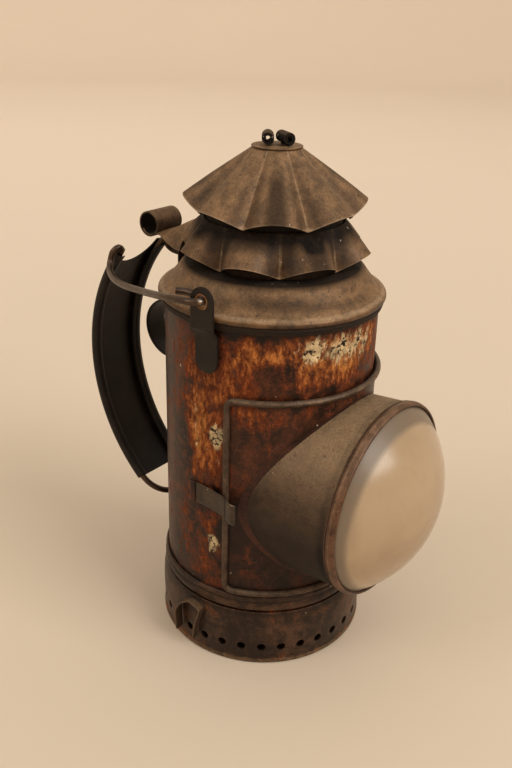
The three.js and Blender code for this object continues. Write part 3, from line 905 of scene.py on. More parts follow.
SHOP = Workshop()
JAPAN = JapannedTin()
JAPAN_DARK = JapannedTin(
    "japanned_tin_base", lacquer=(0.021, 0.0115, 0.0072), faded=(0.080, 0.040, 0.022), rustiness=-0.04,
)
BRONZE = BronzedTin()
BLACK = BlackTin()
WIRE = AgedWire()
TIN = BrightTin()
BRASS = BurnerBrass()


# ---------------------------------------------------------------- sub-assemblies


@dataclass
class Base:
    """Lift-out base: floor, perforated skirt, clip, oil font, burner and reflector."""

    vent_count: int = 33
    vent_radius: float = 1.7
    vent_height: float = 8.0
    flank_radius: float = 42.1
    first_vent: float = -142.3
    vent_band: tuple[float, float] = (5.2, 10.8)
    steps_per_vent: int = 8
    font_radius: float = 28.0
    filler: tuple[float, float] = (-16.0, -9.0)
    reflector_radius: float = 21.0
    focal_length: float = 15.75

    def build(self) -> None:
        """Builds every piece of the base."""
        self.floor()
        self.skirt()
        self.clip()
        self.font()
        self.burner()
        self.reflector()

    def floor(self) -> None:
        """Flat disc with a shallow raised ring pressed into it."""
        top = soften(
            [
                [0, 0.8], [30, 0.8], [31.5, 0.55], [34, 0.55], [35.5, 0.8], [40.6, 0.8], [40.6, 0.02],
                [33, 0.0], [0, 0.0],
            ],
            0.5, 4, closed=False,
        )
        floor = revolve(top, segments=120, closed=False)
        SHOP.piece("base_floor_disc", floor, JAPAN_DARK, "base", ("base_floor",))

    def skirt_radius(self, z: np.ndarray, skin: float) -> np.ndarray:
        """Radius of the skirt's flank: a straight line in height on each face."""
        return (41.9 + 0.4 * (z - 2.4) / 11.6) * (1 - skin) + (41.05 + 0.25 * (z - 3) / 16) * skin

    def vent_cells(self) -> Surface:
        """One patch for each vent, all at once: lines run from the round hole to the patch's
        rectangular border on the outer face, and come back on the inner face."""
        low, high = self.vent_band
        m = self.steps_per_vent
        half = 180.0 / self.vent_count
        rim = box_loop(-half, half, low, high, (m, m))
        turn = np.radians(-135 + np.arange(4 * m) * 360 / (4 * m))
        round_hole = polar(self.vent_radius, turn)
        aside = np.degrees(round_hole[:, 0] / self.flank_radius)
        hole = np.stack([aside, self.vent_height + round_hole[:, 1]], -1)
        s = np.linspace(0, 1, 4)[None, :, None]
        flat = hole[:, None] * (1 - s) + rim[:, None] * s
        centre = self.first_vent + np.arange(self.vent_count) * 2 * half
        angle = np.radians(centre[:, None, None] + flat[None, ..., 0])
        z = np.broadcast_to(flat[None, ..., 1], angle.shape)

        def face(skin: float) -> np.ndarray:
            """All patches' points on one face."""
            return upright(self.skirt_radius(z, skin), angle, z)

        sections = np.concatenate([face(0)[:, :, ::-1], face(1)], 2)
        k, n, p = sections.shape[:3]
        one = lattice(sections[0], joined=True, ring=False).faces
        faces = (one[None] + (np.arange(k) * n * p)[:, None, None]).reshape(-1, 4)
        return Surface(sections.reshape(-1, 3), faces)

    def skirt(self) -> None:
        """Perforated band between an upper ring and a flared foot, met edge to edge."""
        low, high = self.vent_band
        out, back = (lambda z: float(self.skirt_radius(z, 0.0))), (lambda z: float(self.skirt_radius(z, 1.0)))
        upper = soften(
            [
                [out(high), high], [42.3, 14], [42.25, 17], [42.1, 20.5], [41, 24.8], [40.75, 24],
                [41.3, 19], [back(high), high],
            ],
            1.2, 5, closed=False,
        )
        lower = soften(
            [
                [back(low), low], [41.05, 3], [41, 0.05], [41.5, 0], [42.3, 0.5], [42.3, 1.2],
                [41.9, 2.4], [out(low), low],
            ],
            0.5, 5, closed=False,
        )
        start = self.first_vent - 180.0 / self.vent_count
        count = self.vent_count * self.steps_per_vent
        skirt = together(
            self.vent_cells(), *(
                revolve(o, segments=count, closed=False, first=start) for o in (upper, lower)
            )
        )
        skirt.marked(Mark.WEAR_AND_HIGHLIGHT, 0.78 * near(skirt.height, 1.2, 1.9) + 0.45 * near(skirt.height, 24.6, 1.0))
        skirt.marked(Mark.RUST, 0.35 * near(skirt.height, 21.5, 2.5) + 0.45 * near(skirt.height, 2.0, 2.0))
        skirt.marked(Mark.SOOT_AND_SHADE, 0.8 * (skirt.radius < 41.36) * (skirt.height < 24))
        SHOP.piece(
            "base_skirt_pierced", skirt, JAPAN_DARK, "base", ("base_skirt",),
            bevel=0.12,
        )

    def clip(self) -> None:
        """Bent strip on the skirt: a path in the upright plane along the flank, carried with a
        section whose inner end follows the skirt's curve."""
        path = soften(
            [[8.6, 6.4], [9.2, 15.6], [6.6, 20.4], [2, 24], [-3.9, 22.4], [-1, 13.2], [-0.2, 6.4]], 1.6,
            8, closed=False,
        )
        path = resample(path, 90)
        square = normals(path)
        section = slab(1.0, 0.7, 7, 0.12)
        inner = -np.sqrt(42.55**2 - path[:, 0] ** 2)
        share = section[:, 0] + 0.5
        x = inner[:, None] + (-45.6 - inner[:, None]) * share[None, :]
        flat = path[:, None] + square[:, None] * section[None, :, 1:]
        clip = lattice(np.concatenate([x[..., None], flat], -1))
        clip.marked(Mark.WEAR_AND_HIGHLIGHT, 0.8 * near(clip.points[:, 0], -45.6, 0.5))
        clip.marked(Mark.SOOT_AND_SHADE, 0.55)
        SHOP.piece("base_clip_strip", clip, BRONZE, "base", ("base_clip",), bevel=0.1)

    def font(self) -> None:
        """Round oil can with a pressed shoulder, and its screwed filler cap with a milled edge."""
        r = self.font_radius
        can = soften(
            [
                [0, 1.2], [r, 1.2], [r, 21], [r - 0.8, 22.9], [r - 2, 24], [r - 7, 24.0],
                [r - 8.4, 23.75], [12, 23.75], [10.6, 24], [6.4, 24], [6.4, 23.2], [r - 2.4, 23.2],
                [r - 0.8, 20.6], [r - 0.8, 2], [0, 2],
            ],
            0.7, 4, closed=False,
        )
        body = revolve(can, segments=128, closed=False)
        body.marked(Mark.SOOT_AND_SHADE, 0.5 * near(body.height, 24, 1) * (body.radius < 14))
        SHOP.piece("oil_font_can", body, TIN, "base", ("oil_font",))
        cap = lathe(
            [[0, 24.05], [5.4, 24.05], [5.4, 27.6], [4.7, 28.4], [3.2, 28.6], [2.6, 28.2], [0, 28.2]],
            0.35, 4, 144, closed=False,
        )
        turn = np.arctan2(cap.points[:, 1], cap.points[:, 0])
        groove = 1 - 0.035 * (cap.radius > 5.2) * (np.cos(36 * turn) < 0)
        cap.points[:, :2] *= groove[:, None]
        SHOP.piece(
            "filler_cap_milled", cap.moved(*self.filler), BRASS, "base",
            ("filler_cap",),
        )

    def burner(self) -> None:
        """Collar, wick tube, wick and air cone, each an outline turned about the centre line."""
        parts = {
            "burner_collar": (
                [
                    [4.7, 19], [6, 19], [6, 24.1], [9.6, 24.4], [9.6, 26.2], [9.2, 26.8], [9.6, 27.4],
                    [9.6, 29.6], [8.4, 29.6], [8.2, 28.9], [4.7, 28.9],
                ],
                0.3,
            ),
            "wick_tube": ([[3.7, 12], [4.3, 12], [4.3, 50], [3.7, 50]], 0.15),
            "air_cone": (
                [
                    [10.4, 30], [11.2, 30], [11.5, 35.5], [8.4, 41.5], [5.2, 44.6], [4.8, 43.9],
                    [7.8, 41], [10.8, 35.2],
                ],
                0.9,
            ),
        }
        for node, (outline, ease) in parts.items():
            ring = lathe(outline, ease, 5, 96)
            ring.marked(Mark.SOOT_AND_SHADE, np.clip((ring.height - 36) / 10, 0, 0.9))
            SHOP.piece(f"{node}_brass", ring, BRASS, "base", (node,))
        wick = lathe(
            [[0, 8], [3.3, 8], [3.3, 53.6], [2.6, 54.8], [1.2, 54.4], [0, 55]], 0.5, 6, 48,
            closed=False,
        )
        wick.marked(Mark.SOOT_AND_SHADE, np.clip((wick.height - 50.5) / 2.5, 0, 1))
        SHOP.piece("wick_plait", wick, WovenWick(), "wick", ("wick",))

    def reflector(self) -> None:
        """Dished mirror, depth going with the square of the radius over four focal lengths, with
        a turned rim, on a bent strip bracket."""
        r = np.linspace(0, self.reflector_radius, 30)
        front = np.stack([r, 17 - r**2 / (4 * self.focal_length)], -1)
        back = np.stack([r, 17.6 - r**2 / (4 * self.focal_length)], -1)[::-1]
        dish = revolve(np.concatenate([front, back]), Axis.LENS, 128, closed=False)
        SHOP.piece(
            "reflector_dish", dish, BrightTin("reflector_silvered", tin=(0.72, 0.69, 0.62)), "base",
            ("reflector",), bevel=0.15,
        )
        path = soften([[11, 24.8], [20.2, 24.8], [21, 26], [20.4, 52], [18.5, 77]], 1.5, 8, closed=False)
        strip = carry(in_middle(resample(path, 70)), slab(8, 0.8), (1, 0, 0))
        SHOP.piece("reflector_bracket_strip", strip, TIN, "base", ("reflector_bracket",))


@dataclass
class Body:
    """Fixed body: shell with its front opening, band, dome, ears, belt loop, hinge and thumb rest."""

    radius: float = BODY_RADIUS
    bottom: float = 17.0
    top: float = 142.5
    opening: tuple[float, float, float, float] = (-158.0, -22.0, 38.0, 111.0)
    ear_y: float = -3.6
    ear_z: float = 149.6

    def build(self) -> None:
        """Builds every piece of the body."""
        self.shell()
        self.band()
        self.dome()
        self.ears()
        self.belt_loop()
        self.thumb_rest()
        self.small_parts()

    def shell(self) -> None:
        """Cylinder sheet unrolled as one rectangle with a rectangular hole, its side ends
        meeting at the back, and a lapped seam strip soldered over that join."""
        left, right, low, high = self.opening
        rim = box_loop(-270, 90, self.bottom, self.top, (110, 40))
        hole = box_loop(left, right, low, high, (110, 40))
        shell = pierced(rim, hole, 46, round_sheet((self.radius, self.radius - 0.8)), SKINS)
        outer = shell.radius > self.radius - 0.2
        rust = patches(
            shell, (1, -119, 130, 24, 11), (0.85, -150, 131, 16, 9), (0.95, 178, 100, 10, 30),
            (0.55, -166, 116, 8, 10), (0.8, -88, 130, 24, 12), (0.5, 165, 45, 20, 18),
            (0.35, 60, 90, 50, 40), (0.3, 0, 125, 40, 18), (-0.75, -144, 124, 8, 6),
            (-0.6, 155, 90, 9, 60), (0.4, -170, 72, 7, 34),
        )
        bare = patches(
            shell, (0.95, -122, 134, 8, 5), (0.62, -106, 132, 13, 8), (0.66, -88, 133, 15, 8),
            (1.2, -170.5, 99, 5.0, 5.2), (1.15, -171.5, 52, 4.2, 5.2), (0.6, 176, 104, 7, 26),
            (0.45, -169, 80, 4, 16), (0.3, -128, 127, 12, 8),
        )
        shell.marked(Mark.RUST, np.clip(rust, 0, 1) * outer)
        shell.marked(Mark.BARE, np.clip(bare, 0, 1.2) * outer)
        # painted shade under the dome's rim; also darker round the left ear's strap and just above the band
        shade = (
            0.75 * near(shell.height, 139.5, 2.2)
            + 0.5 * spot(shell, 180, 128, 9, 14)
            + 0.6 * near(shell.height, 31.5, 1.6)
        )
        shell.marked(Mark.SOOT_AND_SHADE, np.where(outer, np.clip(shade, 0, 0.8), 0.55))
        SHOP.piece("body_shell_sheet", shell, JAPAN, "body", ("body_shell",), bevel=0.15)
        turn = np.radians(np.linspace(62, 68, 14))
        section = np.concatenate([polar(40.42, turn), polar(40.0, turn[::-1])])
        seam = lattice(prism(section, np.linspace(31.4, 139.4, 40)))
        seam.marked(Mark.WEAR_AND_HIGHLIGHT, 0.4)
        SHOP.piece("body_lapped_seam", seam, JAPAN, "body", bevel=0.1)

    def band(self) -> None:
        """Double-beaded hoop, with painted shade in the band that shows between its beads."""
        outline = soften(
            [
                [40.02, 25.3], [41.15, 25.3], [41.5, 26.6], [41.5, 27.9], [40.85, 29.1], [41.35, 30.0],
                [41.3, 30.9], [40.75, 31.6], [40.02, 31.6],
            ],
            0.6, 6,
        )
        hoop = revolve(outline, segments=220)
        hoop.marked(Mark.WEAR_AND_HIGHLIGHT, 0.5 * near(hoop.height, 27.2, 0.5) + 0.45 * near(hoop.height, 30.4, 0.4))
        # painted shade in the groove between the beads; also darker along the top edge
        hoop.marked(Mark.SOOT_AND_SHADE, 0.8 * near(hoop.height, 29.1, 0.45) + 0.5 * near(hoop.height, 31.9, 0.4))
        SHOP.piece("lower_band_beaded", hoop, JAPAN_DARK, "body", ("lower_band",))

    def dome(self) -> None:
        """Pressed dome: a rolled rim bead, a flat flange and a bulging shoulder, from one
        rounded outline turned about the centre line."""
        outside = [
            [41.2, 139.6], [41.25, 140.6], [41.75, 141.3], [41.3, 142.2], [42.4, 143], [42.1, 144.4],
            [40.6, 145.2], [38.8, 146.3], [36, 149.7], [33.6, 153], [31.3, 154.3], [27, 154.7],
        ]
        inside = [[27, 153.9], [31, 153.5], [34.6, 150.4], [39.3, 144.9], [40.4, 143.4], [40.1, 139.6]]
        dome = lathe(outside + inside, 1.5, 7, 220)
        radius = dome.radius
        upper = dome.height > 142.4
        roof = np.interp(radius, [27, 31.3, 33.6, 36, 38.8, 40.6], [154.7, 154.3, 153, 149.7, 146.3, 145.2])
        under = (dome.height < roof - 0.55) & (radius < 40.9)
        # darker patches across the dome's front, and painted shadow of the lower ruffle round the neck
        ring = patches(dome, (0.62, -142, 149.0, 24, 2.2), (0.4, -105, 147.5, 26, 1.2))
        dome.marked(Mark.SOOT_AND_SHADE, upper * (ring + 0.95 * np.clip((34.5 - radius) / 2.5, 0, 1)))
        # painted shade on the undersides and on the rolled bead under the flange
        dome.marked(Mark.SOOT_AND_SHADE, 0.9 * under + 0.88 * (dome.height < 142.6))
        # lighter on the flange from rubbing, and a thin painted highlight on the rolled bead's crest
        dome.marked(
            Mark.WEAR_AND_HIGHLIGHT,
            0.80 * near(radius, 41.0, 1.5) * (dome.height > 143.2)
            + 0.5 * near(radius, 41.7, 0.12) * near(dome.height, 141.3, 0.3),
        )
        SHOP.piece("top_dome_pressed", dome, BRONZE, "body", ("top_dome",), sharp=60)
        seat = lathe(
            [[25.1, 152.5], [26.6, 152.5], [26.6, 156.3], [26.2, 156.6], [25.4, 156.6], [25.1, 156.3]],
            0.2, 4, 144,
        )
        SHOP.piece(
            "chimney_seat_ring", seat.marked(Mark.SOOT_AND_SHADE, 0.7), BRONZE, "body",
            ("chimney_seat",),
        )

    def ears(self) -> None:
        """Handle ears: a long round-ended plate with a hole, stepped outward over the rim by a
        smooth step in height."""
        half, count = 4.9, 120
        turn = np.linspace(0, 2 * np.pi, count, endpoint=False)
        rise = np.where(np.sin(turn) >= 0, self.ear_z, 123 + half)
        rim = np.stack([self.ear_y + half * np.cos(turn), rise + half * np.sin(turn)], -1)
        rim = resample(np.concatenate([rim, rim[:1]]), count + 1)[:-1]
        aim = np.unwrap(np.arctan2(rim[:, 1] - self.ear_z, rim[:, 0] - self.ear_y))
        hole = np.stack([self.ear_y + 2.35 * np.cos(aim), self.ear_z + 2.35 * np.sin(aim)], -1)
        for name, side in (("ear_left", -1.0), ("ear_right", 1.0)):

            def place(y: np.ndarray, z: np.ndarray, skin: float, side: float = side) -> np.ndarray:
                """Plate point: its distance out steps from the strap to the head."""
                step = np.clip((z - 136.4) / 3.6, 0, 1)
                x = 40.9 + 2.4 * step * step * (3 - 2 * step) + (0.55 - 1.1 * skin)
                return np.stack([side * x, y, z], -1)

            plate = pierced(rim, hole, 34, place, SKINS)
            away = np.hypot(plate.points[:, 1] - self.ear_y, plate.height - self.ear_z)
            plate.marked(Mark.RUST, near(away, 2.4, 0.7))
            plate.marked(Mark.WEAR_AND_HIGHLIGHT, 0.3 * near(away, 4.9, 0.5) * (plate.height > self.ear_z - 3))
            SHOP.piece(f"{name}_plate", plate, BLACK, "body", (name,), bevel=0.18)

    def belt_loop(self) -> None:
        """Spring strap at the back: straight feet on the shell and a half circle between."""
        t = np.radians(np.linspace(90, -90, 40))
        bend = np.stack([49.2 + 12.2 * np.cos(t), 115.2 + 12.2 * np.sin(t)], -1)
        path = np.concatenate(
            [[[40.8, 133.5], [40.8, 128.3], [42, 127.4]], bend, [[42, 103], [40.8, 102], [40.8, 97]]]
        )
        path = resample(soften(path, 0.8, 4, closed=False), 170)
        strap = carry(in_middle(path), slab(11, 0.8, 13, 0.4), (1, 0, 0))
        strap.marked(Mark.WEAR_AND_HIGHLIGHT, 0.5 * near(np.abs(strap.points[:, 0]), 5.5, 0.6))
        SHOP.piece("belt_loop_strap", strap, BLACK, "body", ("belt_loop",), bevel=0.12)

    def thumb_rest(self) -> None:
        """Arched hood that curls into a roll, and the plate that stands it on the dome: across
        the hood the sheet sags with the square of the distance from its middle, and the sag dies
        out before the roll."""
        a = np.radians(np.linspace(222, 682, 120))
        r = 4.35 - np.maximum(0, np.degrees(a) - 560) * 0.009
        roll = np.stack([57 + r * np.cos(a), 158.3 + r * np.sin(a)], -1)
        crest = flow([[36.8, 163.2], [41, 161.2], [46, 158.6], [50, 156.9], [52.6, 156.0], roll[0]], 14)
        spine = np.concatenate([crest, roll[1:]])
        stations = [36.8, 41, 46, 50, 53.4]
        half = np.interp(spine[:, 0], stations, [11, 9.8, 8.4, 7.3, 7])
        half[len(crest):] = 7.0
        sag = np.interp(spine[:, 0], stations, [11, 9.2, 5.6, 2.2, 0.15])
        sag[len(crest):] = 0.0
        square = normals(spine)
        columns = 41
        u = np.linspace(-1, 1, columns)

        def face(drop: float) -> np.ndarray:
            """One face of the sheet, moved in by a drop."""
            x = u[None, :] * (half[:, None] - drop * np.abs(u)[None, :] * (sag[:, None] > 0.5))
            y = spine[:, 0, None] - drop * square[:, 0, None] + 0 * x
            z = spine[:, 1, None] - drop * square[:, 1, None] - sag[:, None] * u[None, :] ** 2
            return np.stack([x, y, z], -1)

        rest = lattice(np.concatenate([face(0.0), face(0.7)[:, ::-1]], 1))
        edge = np.abs(rest.points[:, 0]) / np.interp(rest.points[:, 1], [36.8, 53.4], [11, 7])
        rest.marked(Mark.WEAR_AND_HIGHLIGHT, 0.7 * np.clip((edge - 0.9) * 10, 0, 1) + 0.3 * (rest.points[:, 1] > 58))
        # painted shade: the hood's underside and the roll's inner face made near black; the roll darker all
        # round
        on_roll = np.repeat(np.arange(len(spine)) >= len(crest), 2 * columns)
        inside = np.tile(np.arange(2 * columns) >= columns, len(spine)) ^ on_roll
        rest.marked(Mark.SOOT_AND_SHADE, np.clip(0.97 * inside + 0.35 * on_roll, 0, 0.97))
        SHOP.piece("thumb_rest_sheet", rest, BRONZE, "body", ("thumb_rest",), bevel=0.1)
        x = np.linspace(-10.7, 10.7, 45)[:, None]
        foot = np.interp(np.abs(x), [0, 5, 8, 10.7], [148.75, 148.35, 147.65, 146.9])
        crown = np.maximum(foot + 1, 163.2 - 11 * (x / 11) ** 2 - 0.55)
        y = np.array([[37.3, 37.3, 37.3, 37.9, 37.9, 37.9]]) + 0 * x
        z = np.concatenate([foot, 0.5 * (foot + crown), crown, crown, 0.5 * (foot + crown), foot], 1)
        plate = lattice(np.stack([x + 0 * y, y, z], -1))
        plate.marked(Mark.SOOT_AND_SHADE, 0.35)
        SHOP.piece("thumb_rest_back_plate", plate, BRONZE, "body", bevel=0.1)

    def small_parts(self) -> None:
        """The catch's foot on the shell, and the hinge's pin and two outer knuckles."""
        z = np.linspace(68.3, 76.8, 12)
        foot = carry(np.stack([0 * z - 40.7, 0 * z + 3.35, z], -1), slab(2.7, 0.6, 7, 0.2), (0, 1, 0))
        SHOP.piece("latch_root_strip", foot, JAPAN, "body", ("latch_root",), bevel=0.08)
        x, y = polar(HINGE_RADIUS, np.radians(HINGE_ANGLE))
        pin = lathe([[0, 39], [0.8, 39], [0.8, 109], [0, 109]], 0.3, 4, 28, closed=False)
        SHOP.piece("hinge_pin_wire", pin.moved(x, y), WIRE, "body", ("hinge_pin",))
        for node, low, high in (("hinge_knuckle_lower", 41, 51), ("hinge_knuckle_upper", 97, 107)):
            hinge_knuckle(node, low, high, (40.35, 40.95), (-14.6, -3.0), (x, y), "body")


def hinge_knuckle(node: str, low: float, high: float, radii: tuple[float, float], turns: tuple[float, float],
                  centre: tuple[float, float], body: str) -> None:
    """Rolled hinge barrel with its soldered leaf: a ring about the pin, and a curved plate whose
    thickness runs between two radii of the lantern.

    Args:
        node: the model node that it stands for.
        low: height of the lower end.
        high: height of the upper end.
        radii: inner and outer radius of the leaf.
        turns: directions between which the leaf lies, in degrees.
        centre: place of the pin.
        body: the body that it rides on.
    """
    barrel = lathe([[1.1, low], [1.9, low], [1.9, high], [1.1, high]], 0.2, 4, 40).moved(*centre)
    barrel.marked(Mark.WEAR_AND_HIGHLIGHT, 0.5)
    turn = np.radians(np.linspace(*turns, 16))
    section = np.concatenate([polar(radii[1], turn), polar(radii[0], turn[::-1])])
    leaf = lattice(prism(section, np.linspace(low, high, 10)))
    SHOP.piece(f"{node}_rolled", together(barrel, leaf), JAPAN, body, (node,), bevel=0.1)


@dataclass
class ChimneyHead:
    """Turning head: tube, two ruffles, cap with finger scrolls, and the dark shutter below."""

    lobes: int = 8
    upper_phase: float = -142.4
    lower_phase: float = -115.9
    steps_per_lobe: int = 48
    tube_radius: float = 24.7
    tube_bore: float = 24.0
    shutter_radius: float = 37.2

    def build(self) -> None:
        """Builds every piece of the chimney head."""
        bore, skin = self.tube_bore, self.tube_radius
        tube = lathe([[bore, 119.6], [skin, 119.6], [skin, 173.4], [bore, 173.4]], 0.2, 3, 160)
        SHOP.piece(
            "chimney_tube_wall", tube.marked(Mark.SOOT_AND_SHADE, 1.0), BRONZE, "chimney",
            ("chimney_tube",),
        )
        self.ruffle(
            "lower_ruffle", [[25.7, 170.3], [27.2, 162.8], [28.3, 155.3]],
            [[25.7, 170.3], [31.2, 165.5], [35.9, 160.3]], self.lower_phase, 0.0,
        )
        self.ruffle(
            "upper_ruffle", [[8.8, 194.2], [15.2, 187.6], [22, 180.8], [28.6, 173.7]],
            [[8.8, 194.2], [17, 188.8], [25.2, 183.2], [33.1, 177.5]], self.upper_phase, 2.6,
        )
        self.cap()
        self.shutter()

    def ruffle(self, node: str, crease: list[list[float]], crest: list[list[float]],
               phase: float, dip: float) -> None:
        """Pleated cone: each line from neck to hem is the crease line plus the step to the crest
        line times the size of the cosine of half the lobe count times the turn. The hem dips on
        one side by an amount times the cosine of the turn.

        Args:
            node: the model node that it stands for.
            crease: (radius, height) points down the bottom of a pleat.
            crest: (radius, height) points down the top of a pleat.
            phase: direction of one crest, in degrees.
            dip: how far the hem dips there.
        """
        down, up = flow(crease, 14), flow(crest, 14)
        steps = self.lobes * self.steps_per_lobe
        turn = np.arange(steps) * 2 * np.pi / steps
        wave = np.abs(np.cos(self.lobes / 2 * turn))
        swell = (np.sqrt(wave**2 + 0.0009) - 0.03) / (np.sqrt(1.0009) - 0.03)
        line = down[None] + (up - down)[None] * swell[:, None, None]
        share = np.linspace(0, 1, len(down))[None]
        sink = 0.15 * np.abs(np.sin(3 * turn + 1.0))[:, None] * share
        line = line - np.stack([sink, sink + dip * np.cos(turn)[:, None] * share], -1)
        lining = line - np.array([0.48, 0.36])
        loop = np.concatenate([line, lining[:, ::-1]], 1)
        way = turn[:, None] + np.radians(phase)
        cone = lattice(upright(loop[..., 0], way, loop[..., 1]), joined=True)
        n = len(down)
        along = np.tile(np.concatenate([np.linspace(0, 1, n), np.linspace(1, 0, n)]), len(turn))
        rise = np.repeat(swell, 2 * n)
        under = np.tile(np.arange(2 * n) >= n, len(turn))
        # lighter on the creases and along the hem: rubbed edges, with painted highlight on the crease ridges
        rubbed = 0.70 * near(rise, 0, 0.12) + 0.85 * near(along, 1, 0.03) + 0.2 * near(along, 0, 0.08)
        cone.marked(Mark.WEAR_AND_HIGHLIGHT, ~under * rubbed)
        nearest = (np.arange(steps) + self.steps_per_lobe // 2) // self.steps_per_lobe
        lobe = np.repeat(nearest % self.lobes, 2 * n)
        # darker along each lobe's crest, by a different amount on each lobe
        depth = np.array([0.75, 0.18, 0.4, 0.1, 0.5, 0.2, 0.45, 0.15])[lobe]
        band = depth * near(rise, 1, 0.16) * np.clip((along - 0.12) * 3, 0, 1)
        # painted shade in the lobes' hollows, part way down each flank
        hollow = 0.42 * near(rise, 0.40, 0.24) * np.clip(along * 1.4, 0, 1)
        # painted shadow of the upper ruffle over the top of the lower one
        shade = 0.95 * (dip == 0) * np.clip(1.45 - along * 2.2, 0, 1)
        # painted shade: the undersides of both ruffles made near black
        cone.marked(Mark.SOOT_AND_SHADE, np.where(under, 0.98, band + hollow + shade))
        SHOP.piece(f"{node}_pleated", cone, BRONZE, "chimney", (node,), sharp=55)

    def cap(self) -> None:
        """Small plate on top, with two finger scrolls: strips rolled into open spirals."""
        plate = lathe(
            [[0, 194.4], [9.1, 194.4], [9.1, 195], [8, 195], [0, 194.9]], 0.25, 4, 96, closed=False,
        )
        plate.marked(Mark.WEAR_AND_HIGHLIGHT, 0.4 * (plate.radius > 8.6))
        SHOP.piece("cap_plate_round", plate, BRONZE, "chimney", ("cap_plate",))
        facing = np.radians(self.upper_phase)
        for node, aside, fan in (("finger_scroll_left", -3.5, 0.0), ("finger_scroll_right", 2.6, 22.0)):
            a = np.linspace(-0.5 * np.pi, 3.3 * np.pi, 110)
            r = 2.5 - 1.35 * (a - a[0]) / (a[-1] - a[0])
            section = np.concatenate([polar(r, a), polar(r - 0.5, a)[::-1]])
            scroll = lattice(prism(section, np.linspace(-3.8, 3.8, 18))[..., [0, 2, 1]])
            # darker all over, and painted shade on the spiral's inner wraps
            scroll.marked(Mark.SOOT_AND_SHADE, 0.7 + 0.3 * (np.hypot(scroll.points[:, 0], scroll.points[:, 2]) < 2.05))
            scroll.marked(Mark.WEAR_AND_HIGHLIGHT, 0.6 * (np.abs(scroll.points[:, 1]) > 3.6))
            scroll.turned(np.degrees(facing) + 90 + fan).moved(
                -aside * np.sin(facing), aside * np.cos(facing), 197.5,
            )
            SHOP.piece(f"{node}_roll", scroll, BRONZE, "chimney", (node,), bevel=0.08)

    def shutter(self) -> None:
        """Inner half-cylinder that darkens the lens, with its window, under its crown plate."""
        crown = lathe([[24.1, 118.4], [37.2, 118.4], [37.2, 119.2], [24.1, 119.2]], 0.2, 3, 160)
        SHOP.piece(
            "shutter_crown_ring", crown.marked(Mark.SOOT_AND_SHADE, 0.6), TIN, "chimney",
            ("shutter_crown",),
        )
        rim = box_loop(-270, 90, 36, 118, (90, 30))
        hole = box_loop(-146, -34, 40, 112, (90, 30))
        wall = pierced(
            rim, hole, 34, round_sheet((self.shutter_radius, self.shutter_radius - 0.6)), SKINS,
        )
        wall.marked(Mark.SOOT_AND_SHADE, 0.35 + 0.4 * np.clip((wall.height - 80) / 40, 0, 1))
        SHOP.piece("dark_shutter_wall", wall, TIN, "chimney", ("dark_shutter",), bevel=0.12)


